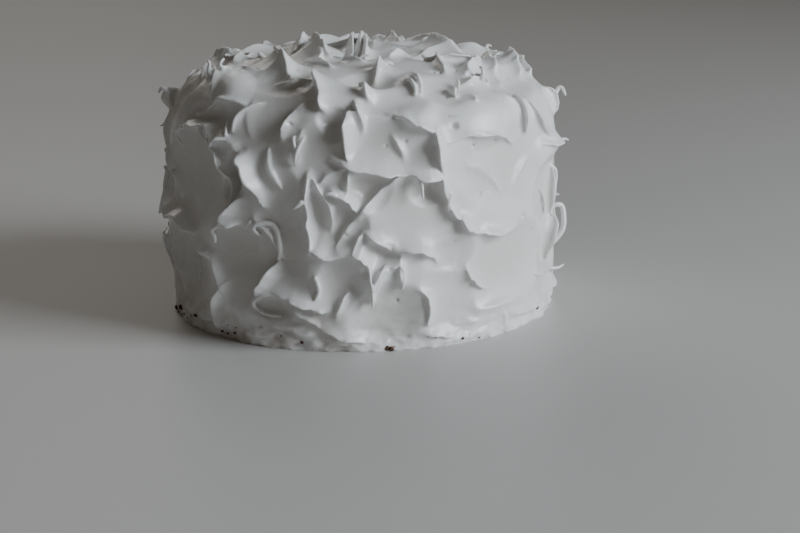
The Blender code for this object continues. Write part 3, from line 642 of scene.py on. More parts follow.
def fold_height(points):
    """Height and sideways lean of the folds. A flank falls off the crest as
    exp(-FLANK_FALL * distance / reach), with a thin blade on it that falls as
    exp(-distance / BLADE_REACH); crests taper to their ends; folds join as (a^3 + b^3)^(1/3); and
    the lean grows with the square of the height up the flank."""
    height = np.zeros(len(points))
    lean_by = np.zeros((len(points), 3))
    tail = np.exp(-FLANK_FALL * FLANK_TAIL)
    for fold, (path, lefts) in zip(folds, fold_paths):
        crest, gentle, steep, lean = fold[3:]
        steep = max(steep, STEEP_LEAST)
        reach = np.linalg.norm(path - path.mean(0), axis=1).max() + FLANK_TAIL * max(gentle, steep)
        near = np.flatnonzero(np.linalg.norm(points - path.mean(0), axis=1) < reach)
        if not len(near):
            continue
        distance, share, off, left = nearest_on_path(points[near], path, lefts)
        side = np.clip((off * left).sum(1), -1, 1)
        width = steep + (gentle - steep) * (1 + side) / 2
        width *= (1 + np.sin(np.pi * share)) / 2
        rounded = np.sqrt(distance**2 + CREST_ROUNDING**2) - CREST_ROUNDING
        flank = np.clip((np.exp(-FLANK_FALL * rounded / width) - tail) / (1 - tail), 0, 1)
        blade = BLADE_SHARE * min(1, BLUNT_STEEP / steep) ** 2
        flank += blade * (np.exp(-rounded / BLADE_REACH) - flank)
        ends = end_taper(share) * end_taper(1 - share)
        rise = crest * ends * flank
        before = height[near]
        wins = (rise + SMALLEST) ** BLEND_POWER
        wins = wins / (wins + (before + SMALLEST) ** BLEND_POWER)
        height[near] = (before**BLEND_POWER + rise**BLEND_POWER) ** (1 / BLEND_POWER)
        push = -lean * (ends * flank**2)[:, None] * left
        lean_by[near] += (push - lean_by[near]) * wins[:, None]
    return height, lean_by


print("tallest crest in mm", round(max(fold[3] for fold in folds) / MM, 1))

# %% [markdown]
# ## Bubbles and the rough foot
# Whipped icing is full of air. Here and there a bubble has burst and left a pit. At the foot the
# knife has smeared the icing against the plate, so the lowest centimetre is rougher than the rest.

# %% Pits
# angle, climb, half width in mm, depth in mm
PITS = [
    (26.5, 123, 1.8, 2.6),
    (32.5, 111.5, 1.1, 1.8),
    (41, 112.5, 1.2, 1.8),
    (52, 66, 1.2, 1.4),
    (20.5, 113, 0.9, 1.4),
    (12.5, 117, 1.0, 1.5),
    (7, 115, 0.8, 1.2),
    (9.5, 28, 1.0, 1.2),
    (-4.5, 66, 0.8, 1.0),
    (46, 134, 0.7, 1.0),
]
SEEDED_PITS = 90
PIT_CLIMBS = (6, 225)
PIT_SIZE = (0.6, 1.2)
PIT_DEPTH = 1.2  # depth over half width
PIT_EDGE = 3  # a pit has died out at this many times its half width
seeded_pits = [
    (random.uniform(0, 360), random.uniform(*PIT_CLIMBS), size, PIT_DEPTH * size)
    for size in random.uniform(*PIT_SIZE, SEEDED_PITS)
]


def pit_height(points):
    """Sum over the pits of -depth * exp(-(distance / half width)^4)."""
    height = np.zeros(len(points))
    for angle, climb, half_width, depth in PITS + seeded_pits:
        centre = skin_frame(np.radians(angle), climb * MM)[0]
        near = np.flatnonzero(np.abs(points - centre).max(1) < PIT_EDGE * half_width * MM)
        share = np.linalg.norm(points[near] - centre, axis=1) / (half_width * MM)
        height[near] -= depth * MM * np.exp(-(share**4))
    return height


print("pits", len(PITS + seeded_pits))

# %% The iced surface, from a point on the plain form
ICING_FLOOR = 3 * MM  # hollows between folds lie this far under the plain form
FOOT_FADE = 7 * MM  # folds are smeared down to FOOT_SHARE of their height over this height
FOOT_SHARE = 0.35
SKIN_RIPPLE = ((0.25 * MM, 11 * MM), (0.08 * MM, 4 * MM))
RIPPLE_SEED = 21
FOOT_ROUGHNESS = ((1.3 * MM, 9 * MM), (0.8 * MM, 4 * MM), (0.4 * MM, 2 * MM))
FOOT_ROUGH_REACH = 13 * MM
SMEAR_SEED = 31
SMEAR_STRETCH = np.array([1, 1, 2.2])


def rough_height(points, layers, seed):
    """Sum of layers of noise, each given as (height, length)."""
    seeded = enumerate(layers, seed)
    return sum(size * noise_height(points, length, number) for number, (size, length) in seeded)


def iced_point(points, outs):
    """Point of the plain form moved out by the icing's height and sideways by its lean: the sum of
    pillows, bowls, folds, a slow unevenness, a fine ripple and pits, and at the foot a rough smear."""
    wandered = points + wander(points, side_wander)
    height = pillow_height(wandered, outs) + bowl_height(wandered, outs)
    raised, lean_by = fold_height(wandered)
    height += raised + wander(points, slow_wander)[:, 0] - ICING_FLOOR
    height += rough_height(points, SKIN_RIPPLE, RIPPLE_SEED) + pit_height(points)
    fade = smooth(points[:, 2] / FOOT_FADE)
    rough = np.exp(-((points[:, 2] / FOOT_ROUGH_REACH) ** 2))
    smear = rough_height(points * SMEAR_STRETCH, FOOT_ROUGHNESS, SMEAR_SEED)
    height *= FOOT_SHARE + (1 - FOOT_SHARE) * fade
    return points + outs * (height + smear * rough)[:, None] + lean_by * fade[:, None]


def iced_line(points):
    """Points of the iced skin over a drawn line. The line is drawn before the wander, so the place
    that wanders onto it is found first, by three rounds of place = point - wander(place)."""
    places = points
    for _ in range(3):
        places = points - wander(places, side_wander)
    plain, outs, _, _ = skin_frame(angle_of(places), climb_of(places))
    return iced_point(plain, outs)


print("icing at the middle of the front in mm", np.round(iced_line(front)[0] / MM, 1))

# %% [markdown]
# ## One skin from foot to crown
# The skin is a grid: columns go round, rows go up from a skirt just under the table, over the
# shoulder, to the middle of the top. It could start as a cylinder primitive with loop cuts, but on a
# grid the whole cake is one array and every corner moves in one sum.

# %% The grid
GRID_STEP = 0.65 * MM
SKIRT = 3 * MM


def grid_faces(rows, columns):
    """Four corner numbers for each cell of a grid that is closed round its columns."""
    row, column = np.meshgrid(np.arange(rows - 1), np.arange(columns), indexing="ij")
    right = (column + 1) % columns
    corners = [row * columns + column, row * columns + right]
    corners += [corners[1] + columns, corners[0] + columns]
    return np.stack(corners, -1).reshape(-1, 4)


def skin_grid():
    """Rows of points: the middle of the underside, the skirt, then the iced skin up to the crown."""
    columns = round(2 * np.pi * CAKE_RADIUS / GRID_STEP)
    rows = round(CLIMB[-1] / GRID_STEP)
    angles = np.linspace(0, 2 * np.pi, columns, endpoint=False)
    climbs = np.linspace(0, CLIMB[-1], rows)
    climb, angle = np.meshgrid(climbs[:-1], angles, indexing="ij")
    plain, outs, _, _ = skin_frame(angle.ravel(), climb.ravel())
    iced = iced_point(plain, outs).reshape(rows - 1, columns, 3)
    crown = iced[-1:].mean(axis=1, keepdims=True) + np.zeros((1, columns, 1))
    skirt = iced[:1] * [1, 1, 0] - [0, 0, SKIRT]
    middle = 0 * skirt - [0, 0, SKIRT]
    return np.concatenate([middle, skirt, iced, crown])


skin = skin_grid()
print("skin grid", skin.shape[:2], "highest point in mm", round(skin[..., 2].max() / MM, 1))

# %% [markdown]
# ## Lips, hooks, drips and curls
# A fold ends in a thin rolled lip, and where the knife pulled away the lip runs out into a hook, a
# drip or a curl. A height can't overhang, so these are tubes carried along a path. Each row of the
# table is one strand: its half thickness at the start, in the middle and at its tip, its hang, then the
# places that it passes, as angle, climb and lift. A hang of 0 follows the icing, and a hang of 1 keeps
# the height of its root, so it hangs clear of what lies under it.

# %% Strands given in a table
STRANDS = [
    # the left third, from the top down
    (1.3, 1.2, 0.6, 1, [(-52.5, 120.5, 0), (-51.5, 116.5, 0.5), (-49.5, 112, 0)]),
    (1.3, 1.2, 0.8, 1, [(-47, 118, 0), (-47, 115, 0.5), (-46.2, 112, 0.5)]),
    (1.5, 1.3, 0.8, 1, [(-59.5, 119.5, 0), (-61.5, 117, 1), (-61.5, 113, 0.5), (-59.5, 109, -1)]),
    (1.0, 0.9, 0.7, 0, [(-40, 117, 0.5), (-40.4, 121.5, 2), (-41, 126, 2.5)]),
    (0.7, 0.9, 0.8, 0, [(-31.5, 140, 0.3), (-34.8, 134, 0.8), (-37.2, 127, 0.8), (-38.5, 119, 0.3)]),
    (1.0, 2.0, 0.7, 0, [(-26.8, 112, 0.5), (-25.5, 104, 1.8), (-24, 96, 1.8), (-22.4, 88.5, 0.2)]),
    (1.6, 1.3, 0.9, 0,
     [(-25, 70, 1), (-27, 72, 2), (-29.6, 70.5, 2.5), (-30.4, 66.5, 2.5), (-28.8, 63, 1.5)]),
    (1.6, 1.6, 1.2, 0,
     [(-26, 71.5, 1), (-24.3, 67, 1.5), (-23.2, 60, 1.5), (-23.6, 54, 1.2), (-24.6, 51, 1.0)]),
    (1.4, 1.0, 0.7, 1, [(-31.3, 72.5, 0), (-32.3, 70, 0.5), (-33.2, 67.3, 0)]),
    (1.6, 1.2, 0.8, 1, [(-41.8, 69, 0), (-43.8, 65.5, 1), (-43, 62, 0.5), (-43.2, 58, 0)]),
    (1.0, 1.2, 0.8, 0.6,
     [(-23.5, 32, 0), (-28.3, 30.5, 1), (-31.5, 26.5, 1), (-31, 22, 0.8), (-27.7, 19, 0.5), (-23, 19, 0)]),
    (1.2, 1.5, 0.8, 0, [(-13.6, 42.5, 0.5), (-12.2, 40, 2), (-12, 36, 2), (-13.2, 31.5, 0.5)]),
    (1.4, 1.1, 0.6, 0, [(-15.5, 26, 0.5), (-12.2, 24, 1.2), (-11.2, 21, 0.8)]),
    (1.4, 1.0, 0.5, 1, [(-82, 63, 0), (-84, 65, 2.5), (-86, 66.5, 4)]),
    (1.2, 1.0, 0.6, 1, [(-86, 121, 0), (-88, 124, 2.5), (-91, 123, 4)]),
    # the middle
    (1.1, 1.2, 0.6, 0, [(-16, 119.5, 0.5), (-16.6, 114, 2.8), (-17.2, 109.5, 2.6), (-18, 104, 1)]),
    (1.0, 1.1, 0.8, 0, [(-19.2, 119.5, 0.5), (-18.6, 116.5, 2.6), (-17.4, 112.5, 2.2)]),
    (1.5, 1.2, 0.9, 1, [(-6, 89.5, 0), (-7.8, 90.4, 1), (-9.4, 89.6, 1)]),
    (1.6, 1.2, 0.7, 1, [(-14.4, 87, 0), (-16.2, 84, 0.5), (-17.6, 82.3, 0)]),
    (1.2, 1.0, 0.6, 1, [(15.2, 98.5, 0), (15.8, 94, 0.5), (16, 90, 0), (16.4, 86, -0.5)]),
    (1.3, 1.0, 0.6, 1, [(24.8, 87, 0), (24, 83, 0.5), (23.5, 79.5, 0), (23.7, 76, -0.5)]),
    (0.9, 1.0, 0.7, 1, [(10.5, 49.5, 0), (11, 46, 0), (11, 41, 0), (10.7, 35.5, -1)]),
    (0.9, 0.9, 0.8, 1, [(1.4, 47, 0), (1.7, 40, 0), (2.2, 33, 0), (2.0, 27, -1)]),
    (0.9, 0.9, 0.7, 1, [(6.8, 48, 0), (5.0, 43, 0), (3.4, 35, 0), (2.8, 28, -1)]),
    # the right silhouette
    (1.6, 1.3, 0.8, 1, [(84, 124, 0), (85, 127.5, 4), (85, 127, 6.5), (84, 122.5, 7)]),
    (1.6, 1.6, 1.6, 0, [(77, 61, 0), (78.5, 60, 5.5), (78, 52, 8.5), (77, 44, 7.5), (74, 36, 0.5)]),
    (1.2, 1.2, 1.0, 0, [(73, 88, 0), (76, 84, 2.5), (76.5, 72, 2.5), (75, 60, 0.5)]),
    (1.2, 0.9, 0.6, 0, [(78, 24, 0), (80, 24, 4), (82, 24.5, 7)]),
    (1.2, 0.9, 0.6, 1, [(79, 101, 0), (83, 100, 2), (86, 98, 4)]),
    # the skyline and the top
    (1.1, 1.0, 0.8, 0, [(-64, 151, 0), (-63.5, 152, 3), (-63.2, 153, 6)]),
    (1.1, 1.0, 0.8, 0, [(-55, 153, 0), (-54.5, 154, 2.5), (-54.2, 156, 5)]),
    (1.0, 1.3, 0.9, 0, [(18.5, 160, 0), (19.2, 155, 2.5), (19.8, 150, 2), (19, 145, 0.3)]),
    (0.9, 1.2, 0.8, 0, [(16.3, 160, 0), (17, 154, 2.2), (17.6, 148, 1.8), (17.2, 144.5, 0.3)]),
    (1.2, 1.0, 0.8, 0, [(35, 150, 0), (35, 152, 3), (35.5, 154, 4.5)]),
    (1.2, 1.0, 0.8, 0, [(46, 152, 0), (46.5, 155, 3), (47, 157, 4.5)]),
    (1.2, 1.0, 0.8, 0, [(31.5, 149, 0.5), (31.8, 146, 2), (31, 143.5, 1.5)]),
    (1.2, 1.1, 0.8, 0, [(178, 216, 0.5), (178, 213, 2), (178, 210, 2.5)]),
    (1.4, 1.3, 0.9, 0, [(-50, 185, 0.5), (-44, 181, 1.5), (-38, 176, 0.5)]),
    (1.2, 1.1, 0.7, 0, [(12, 184, 0), (14, 182, 2), (17, 181, 1.5)]),
]
print("strands in the table", len(STRANDS))

# %% A curve through given points, and a tube along it
RINGS = 22
SIDES = 10
TUBE_START = (0.37, 0.21, 0.9)  # made square to the tube's own direction, this is the first n
TIP_POWER = 12


def smooth_line(points, count=RINGS):
    """Catmull-Rom curve through the points: each stretch is the cubic whose slopes at its two ends
    are half the step between the neighbours."""
    points = np.asarray(points, float)
    padded = np.concatenate([[2 * points[0] - points[1]], points, [2 * points[-1] - points[-2]]])
    place = np.linspace(0, len(points) - 1, count)
    stretch = np.minimum(place.astype(int), len(points) - 2)
    t = (place - stretch)[:, None]
    before, start, end, after = (padded[stretch + i] for i in range(4))
    slope_in, slope_out = (end - before) / 2, (after - start) / 2
    line = (2 * t**3 - 3 * t**2 + 1) * start + (t**3 - 2 * t**2 + t) * slope_in
    return line + (3 * t**2 - 2 * t**3) * end + (t**3 - t**2) * slope_out


def tube(line, half_thickness):
    """Rings round a path: centre + r (cos a * n + sin a * b). The direction n is carried along from
    ring to ring, so the tube doesn't twist, and r falls to nothing at both ends, as the root of
    1 - t^12 does, for a round tip."""
    along = np.gradient(line, axis=0)
    along /= np.linalg.norm(along, axis=1, keepdims=True)
    normals = np.empty_like(line)
    normal = np.cross(along[0], TUBE_START)
    for i, direction in enumerate(along):
        normal = normal - (normal @ direction) * direction
        normal = normal / np.linalg.norm(normal)
        normals[i] = normal
    others = np.cross(along, normals)
    t = np.linspace(-1, 1, len(line))
    radius = np.interp(t, [-1, 0, 1], half_thickness) * np.sqrt(1 - t**TIP_POWER)
    turn = np.linspace(0, 2 * np.pi, SIDES, endpoint=False)[None, :, None]
    ring = np.cos(turn) * normals[:, None] + np.sin(turn) * others[:, None]
    return line[:, None] + radius[:, None, None] * ring


print("corners in a strand", RINGS * SIDES)


# %% Make the listed strands
def strand_tubes(strands):
    """Tubes through the strands' places. The icing there stands off the plain form by an offset, and
    a strand takes offset + hang * (offset at its root - offset), then the lift."""
    angle, climb, lift = np.array([place for *_, places in strands for place in places]).T
    plain, outs, _, _ = skin_frame(np.radians(angle), climb * MM)
    offsets = iced_line(plain) - plain
    ends = np.cumsum([len(places) for *_, places in strands])[:-1]
    tubes = []
    for row, places, offset, out, raised in zip(
        strands, *(np.split(values, ends) for values in (plain, offsets, outs, lift * MM))
    ):
        hung = offset + row[3] * (offset[0] - offset)
        line = places + hung + out * raised[:, None]
        tubes.append(tube(smooth_line(line), np.array(row[:3]) * MM))
    return tubes


side_strands = [row for row in STRANDS if row[-1][0][1] < SIDE_TOP]
far_strands = [
    (*row[:-1], [(*far_place(angle, climb), lift) for angle, climb, lift in row[-1]])
    for row in side_strands
]
tubes = strand_tubes(STRANDS + far_strands)
print("hand-laid strands", len(tubes))

# %% A lip along every tall crest
LIP_SHARE = 0.11
LIP_ENDS = 0.5
LIP_OVERHANG = 0.8
LIP_LEAST = 0.65 * MM
LIP_LEAST_CREST = 3.2 * MM


def lip(line, lefts, crest):
    """A thin tube along a fold's crest, LIP_SHARE of the crest's height in half thickness, set over
    the steep side so that it overhangs."""
    thick = max(LIP_SHARE * crest, LIP_LEAST)
    over = line - LIP_OVERHANG * thick * lefts
    return tube(smooth_line(over, 2 * PATH_POINTS), [LIP_ENDS * thick, thick, LIP_ENDS * thick])


crest_lines = iced_line(np.concatenate([path for path, _ in fold_paths]))
crest_lines = crest_lines.reshape(len(folds), PATH_POINTS, 3)
lips = [
    lip(line, lefts, fold[3])
    for line, (_, lefts), fold in zip(crest_lines, fold_paths, folds)
    if fold[3] > LIP_LEAST_CREST and fold[5] <= BLUNT_STEEP
]
print("lips", len(lips))

# %% Hooks at the ends of the seeded folds
HOOK_CHANCE = 0.5
HOOK_LENGTH = (2.5, 6.0)
HOOK_STEPS = ((0.6, 0.5, 0), (0.3, 0.1, 0.5), (-0.1, -0.2, 0.35))  # onward, out and down
HOOK_HALF_THICKNESS = np.array([1.1, 0.88, 0.55]) * MM
UPWARD = 0.7  # where the skin faces up by this much, a hook falls to any side
SIDEWAYS = (0.6, 0.6, 0)


def hook(random, line):
    """A strand that leaves a fold's end the way the fold was going, lifts off and curls down: each
    of its steps is a sum of shares of onward, out and down, times its length."""
    tip = line[-4:] if random.random() < 0.5 else line[3::-1]
    onward = tip[-1] - tip[0]
    onward /= np.linalg.norm(onward)
    out = skin_frame(angle_of(tip[-1:]), climb_of(tip[-1:]))[1][0]
    length = random.uniform(*HOOK_LENGTH) * MM
    down = np.array([0, 0, -1.0]) if out[2] < UPWARD else random.normal(size=3) * SIDEWAYS
    steps = [tip[0], tip[-1]]
    for shares in HOOK_STEPS:
        steps.append(steps[-1] + length * (shares @ np.array([onward, out, down])))
    return tube(smooth_line(steps), HOOK_HALF_THICKNESS)


hooked = [line for line in crest_lines[-len(rims) :] if random.random() < HOOK_CHANCE]
tubes += [hook(random, line) for line in hooked]
print("seeded hooks", len(hooked))

# %% [markdown]
# ## One closed coat
# Skin and strands lie in each other, as in a sculptor's rough model. A voxel remesh makes one closed
# body of them, with the strands grown into the skin, which a Boolean would leave with hard seams. A
# light smoothing takes the voxels' steps away, and Decimate then spends the faces where the shape
# turns, along the crests. Last the skirt is cut off flat, so the foot meets the table.

# %% From grids to one mesh
def closed_mesh(name, grids):
    """One mesh of several grids, each closed round its columns."""
    points = np.concatenate([grid.reshape(-1, 3) for grid in grids])
    counts = np.cumsum([0] + [grid.shape[0] * grid.shape[1] for grid in grids])
    faces = [grid_faces(*grid.shape[:2]) + first for grid, first in zip(grids, counts)]
    faces = np.concatenate(faces)
    mesh = bpy.data.meshes.new(name)
    mesh.vertices.add(len(points))
    mesh.vertices.foreach_set("co", points.astype(np.float32).ravel())
    mesh.loops.add(faces.size)
    mesh.loops.foreach_set("vertex_index", faces.ravel().astype(np.int32))
    mesh.polygons.add(len(faces))
    mesh.polygons.foreach_set("loop_start", np.arange(0, faces.size, 4, dtype=np.int32))
    mesh.update(calc_edges=True)
    return mesh


rough_mesh = closed_mesh("icing", [skin, *tubes, *lips])
print("rough model", len(rough_mesh.polygons), "faces")

# %% Remesh, smooth and lighten
VOXEL = 0.5 * MM
MOST_TRIANGLES = 192000
SOFTENING = 0.5


def evaluated_mesh(obj):
    """The object's mesh with its modifiers applied."""
    graph = bpy.context.evaluated_depsgraph_get()
    graph.update()
    return bpy.data.meshes.new_from_object(obj.evaluated_get(graph))


def grown_together(mesh):
    """One closed body of overlapping ones, on a lattice of voxels, then each corner moved SOFTENING
    of the way to the middle of its neighbours."""
    rough = bpy.data.objects.new("rough_icing", mesh)
    bpy.context.scene.collection.objects.link(rough)
    remesh = rough.modifiers.new("grow together", "REMESH")
    remesh.mode = "VOXEL"
    remesh.voxel_size = VOXEL
    soften = rough.modifiers.new("soften", "SMOOTH")
    soften.factor = SOFTENING
    soften.iterations = 1
    dense = evaluated_mesh(rough)
    bpy.data.objects.remove(rough)
    return dense


def lightened(mesh):
    """The mesh with MOST_TRIANGLES triangles: Decimate drops the flattest edges first."""
    full = bpy.data.objects.new("dense_icing", mesh)
    bpy.context.scene.collection.objects.link(full)
    fewer = full.modifiers.new("fewer", "DECIMATE")
    fewer.ratio = MOST_TRIANGLES / sum(len(face.vertices) - 2 for face in mesh.polygons)
    light = evaluated_mesh(full)
    bpy.data.objects.remove(full)
    return light


dense_mesh = grown_together(rough_mesh)
print("grown together", len(dense_mesh.polygons), "faces")
icing_mesh = lightened(dense_mesh)
print("lightened", len(icing_mesh.polygons), "faces")


# %% Cut the skirt off and stand the coat in its place
CUT_TOLERANCE = 1e-7
BATCHES = 20


def cut_foot(mesh):
    """Keep what is above z = 0, and close the cut with flat faces."""
    shape = bmesh.new()
    shape.from_mesh(mesh)
    geometry = shape.verts[:] + shape.edges[:] + shape.faces[:]
    plane = {"plane_co": (0, 0, 0), "plane_no": (0, 0, 1)}
    cut = bmesh.ops.bisect_plane(shape, geom=geometry, dist=CUT_TOLERANCE, clear_inner=True, **plane)
    rim = [edge for edge in cut["geom_cut"] if isinstance(edge, bmesh.types.BMEdge)]
    caps = bmesh.ops.contextual_create(shape, geom=rim)["faces"]
    for cap in caps:
        cap.smooth = False
    bmesh.ops.recalc_face_normals(shape, faces=shape.faces[:])
    bmesh.ops.triangulate(shape, faces=caps)
    shape.to_mesh(mesh)
    shape.free()


def note_height(mesh):
    """Keep each corner's height over the plain form, (corner - nearest place) . outward, as an
    attribute, which the finish reads."""
    corners = np.empty(len(mesh.vertices) * 3, np.float32)
    mesh.vertices.foreach_get("co", corners)
    heights = []
    for points in np.array_split(corners.reshape(-1, 3).astype(float), BATCHES):
        plain, outs, _, _ = skin_frame(angle_of(points), climb_of(points))
        heights.append(((points - plain) * outs).sum(-1))
    heights = np.concatenate(heights)
    attribute = mesh.attributes.new("icing_height", "FLOAT", "POINT")
    attribute.data.foreach_set("value", heights.astype(np.float32))
    print("lowest and highest icing in mm", np.round([heights.min() / MM, heights.max() / MM], 1))


icing_mesh.shade_smooth()
cut_foot(icing_mesh)
note_height(icing_mesh)
icing_mesh.transform(Matrix.Translation(AXIS))
icing = bpy.data.objects.new("icing", icing_mesh)
bpy.context.scene.collection.objects.link(icing)
print("icing faces", len(icing_mesh.polygons))

# %% [markdown]
# ## The icing's finish
# Whipped icing is white foam. Light goes a few millimetres in and comes out softly, and the skin has
# a satin gloss. The height kept with each corner tints the hollows greyer and a little warmer, which is
# painted shade. At the foot, patches of noise mix in crumb brown, more on the left and lower down: partly
# the crumb that the knife drags down, partly painted shade on the side away from the window. A painted
# picture would do the same, but these few nodes fit any cake and need no unwrapping.

# %% Helpers for nodes
def new_material(name):
    """A new material with its node tree and its Principled shader."""
    material = bpy.data.materials.new(name)
    material.use_nodes = True
    tree = material.node_tree
    return material, tree, tree.nodes["Principled BSDF"]


def noise(tree, where, scale, detail, roughness=0.5):
    """Noise from 0 to 1 with this many lumps to a metre."""
    made = tree.nodes.new("ShaderNodeTexNoise")
    made.inputs["Scale"].default_value = scale
    made.inputs["Detail"].default_value = detail
    made.inputs["Roughness"].default_value = roughness
    tree.links.new(where, made.inputs["Vector"])
    return made.outputs["Fac"]


def ranged(tree, value, low, high, to_low, to_high):
    """The value mapped from low..high to to_low..to_high, and clamped."""
    made = tree.nodes.new("ShaderNodeMapRange")
    for name, number in zip(("From Min", "From Max", "To Min", "To Max"), (low, high, to_low, to_high)):
        made.inputs[name].default_value = number
    tree.links.new(value, made.inputs["Value"])
    return made.outputs["Result"]


def times(tree, first, second):
    """first * second."""
    made = tree.nodes.new("ShaderNodeMath")
    made.operation = "MULTIPLY"
    tree.links.new(first, made.inputs[0])
    tree.links.new(second, made.inputs[1])
    return made.outputs["Value"]


def blended(tree, share, first, second):
    """first * (1 - share) + second * share; a colour is given as four numbers or as a socket."""
    made = tree.nodes.new("ShaderNodeMix")
    made.data_type = "RGBA"
    tree.links.new(share, made.inputs["Factor"])
    for socket, colour in zip((made.inputs["A"], made.inputs["B"]), (first, second)):
        if isinstance(colour, tuple):
            socket.default_value = colour
        else:
            tree.links.new(colour, socket)
    return made.outputs["Result"]


def bump(tree, height, distance, below=None):
    """A direction tilted as if the surface rose by height * distance."""
    made = tree.nodes.new("ShaderNodeBump")
    made.inputs["Distance"].default_value = distance
    tree.links.new(height, made.inputs["Height"])
    if below is not None:
        tree.links.new(below, made.inputs["Normal"])
    return made.outputs["Normal"]


# %% White, faintly uneven, with painted shade in the hollows and crumb brown with painted shade at the foot
ICING_WHITE = (0.87, 0.87, 0.865, 1)
# painted shade: the grey, warm colour that the hollows are tinted with, as if in shade
HOLLOW_SHADE = (0.66, 0.635, 0.60, 1)
# crumb brown and painted shade: the real crumb smears at the foot, with painted shade on the left
STAIN_AND_SHADE = (0.40, 0.29, 0.20, 1)
HOLLOW_SHADE_HEIGHTS = (-8 * MM, 1 * MM)
HOLLOW_SHADE_SHARES = (0.75, 0)  # how much painted shade the hollows get at these two heights
STAIN_AND_SHADE_HEIGHTS = (1 * MM, 30 * MM)
# painted shade: more of the brown on the left, the side away from the window
SHADE_SIDE = (-100 * MM, 50 * MM)
SHADE_SIDE_SHARES = (1, 0.25)
STAIN_AND_SHADE_NOISE = (75, 5, 0.6)  # lumps to a metre, detail and roughness
STAIN_AND_SHADE_EDGES = (0.45, 0.75)  # where the noise goes from clean to stained
SATIN_NOISE = (60, 3)
SATIN_EDGES = (0.3, 0.7)
SATIN = (0.22, 0.36)
FOAM = {  # light goes in a little and comes out softly, red furthest
    "Subsurface Weight": 0.2,
    "Subsurface Radius": (1.0, 0.9, 0.8),
    "Subsurface Scale": 2 * MM,
    "Specular IOR Level": 0.5,
}
SOFT_NOISE = (260, 2)
SOFT_HEIGHT = 0.12 * MM
FINE_NOISE = (1500, 2)
FINE_HEIGHT = 0.02 * MM


def icing_material():
    """White, tinted grey and warm in the hollows by the icing's height (painted shade), and mixed with
    crumb brown by patches of noise that fade upwards and to the right (crumb, and painted shade on the
    left);
    satin, with light let in 2 mm, and two fine bumps."""
    material, tree, shader = new_material("whipped icing")
    where = tree.nodes.new("ShaderNodeTexCoord").outputs["Object"]
    axes = tree.nodes.new("ShaderNodeSeparateXYZ")
    tree.links.new(where, axes.inputs["Vector"])
    # crumb brown and painted shade, low on the cake, mostly on the left, in patches of noise
    low = ranged(tree, axes.outputs["Z"], *STAIN_AND_SHADE_HEIGHTS, 1, 0)
    left = ranged(tree, axes.outputs["X"], *SHADE_SIDE, *SHADE_SIDE_SHARES)
    patches = ranged(tree, noise(tree, where, *STAIN_AND_SHADE_NOISE), *STAIN_AND_SHADE_EDGES, 0, 1)
    stain_and_shade = times(tree, times(tree, low, left), patches)
    kept = tree.nodes.new("ShaderNodeAttribute")
    kept.attribute_name = "icing_height"
    # painted shade: the lower the icing lies in a hollow, the more of the grey, warm tint
    thin = ranged(tree, kept.outputs["Fac"], *HOLLOW_SHADE_HEIGHTS, *HOLLOW_SHADE_SHARES)
    white = blended(tree, thin, ICING_WHITE, HOLLOW_SHADE)
    tree.links.new(blended(tree, stain_and_shade, white, STAIN_AND_SHADE), shader.inputs["Base Color"])
    satin = ranged(tree, noise(tree, where, *SATIN_NOISE), *SATIN_EDGES, *SATIN)
    tree.links.new(satin, shader.inputs["Roughness"])
    for name, value in FOAM.items():
        shader.inputs[name].default_value = value
    soft = bump(tree, noise(tree, where, *SOFT_NOISE), SOFT_HEIGHT)
    fine = bump(tree, noise(tree, where, *FINE_NOISE), FINE_HEIGHT, soft)
    tree.links.new(fine, shader.inputs["Normal"])
    print("icing material, nodes", len(tree.nodes))
    return material


icing_mesh.materials.clear()
icing_mesh.materials.append(icing_material())
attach(icing, "root")
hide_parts("frosted_cake")

# %% [markdown]
# ## Crumbs at the foot
# Dark sponge crumbs stick to the knife and stay in the icing near the foot: a few big ones where the
# table puts them, and small seeded ones all round. Each is a lumpy ball half sunk in the icing. They
# could be scattered by an instancer, but they are few and each can have its own shape.

# %% Crumbs
# angle, climb, half width in mm
CRUMBS = [
    (6.4, 1.2, 1.5),
    (7.6, 1.3, 1.4),
    (-17.8, 4.5, 1.0),
    (-40, 4.5, 0.9),
    (-45, 4, 1.0),
    (-43, 3.2, 0.7),
    (-58, 8, 1.2),
    (-72, 6, 1.5),
    (-80, 2, 1.4),
    (-76, 1.5, 1.0),
    (20, 6.5, 0.6),
    (28.5, 4, 0.8),
    (64, 6.5, 1.2),
    (31, 5, 0.5),
]
SEEDED_CRUMBS = 30
CRUMB_SIZE = (0.3, 0.7)
CRUMB_CLIMB = (0.8, 9)
CRUMB_ROWS = 7
CRUMB_COLUMNS = 8
CRUMB_LUMPS = (1 / 6, 2.5)  # height of the lumps, and how tightly they wave
CRUMB_SQUASH = (0.7, 1.1)
CRUMB_STANDS_OUT = 0.2  # of its half width, its middle is this far out of the icing
CRUMB_LOWEST = 0.9  # and at least this far above the table


def crumb(random, centre, half_width):
    """A lump: a sphere whose radius is r (1 + a sum of three sines of its direction), squashed and
    turned at random."""
    around, up = np.meshgrid(
        np.linspace(0, 2 * np.pi, CRUMB_COLUMNS, endpoint=False),
        np.linspace(-np.pi / 2, np.pi / 2, CRUMB_ROWS),
    )
    ball = np.stack([np.cos(up) * np.cos(around), np.cos(up) * np.sin(around), np.sin(up)], -1)
    lump_height, tightness = CRUMB_LUMPS
    waves = ball @ random.normal(size=(3, 3)) * tightness + random.uniform(0, 6, 3)
    lumps = 1 + lump_height * np.sin(waves).sum(-1)
    lumps[0] = lumps[0].mean()
    lumps[-1] = lumps[-1].mean()
    spin = np.linalg.qr(random.normal(size=(3, 3)))[0]
    spin *= np.sign(np.linalg.det(spin))
    return centre + half_width * (ball * lumps[..., None] * random.uniform(*CRUMB_SQUASH, 3)) @ spin


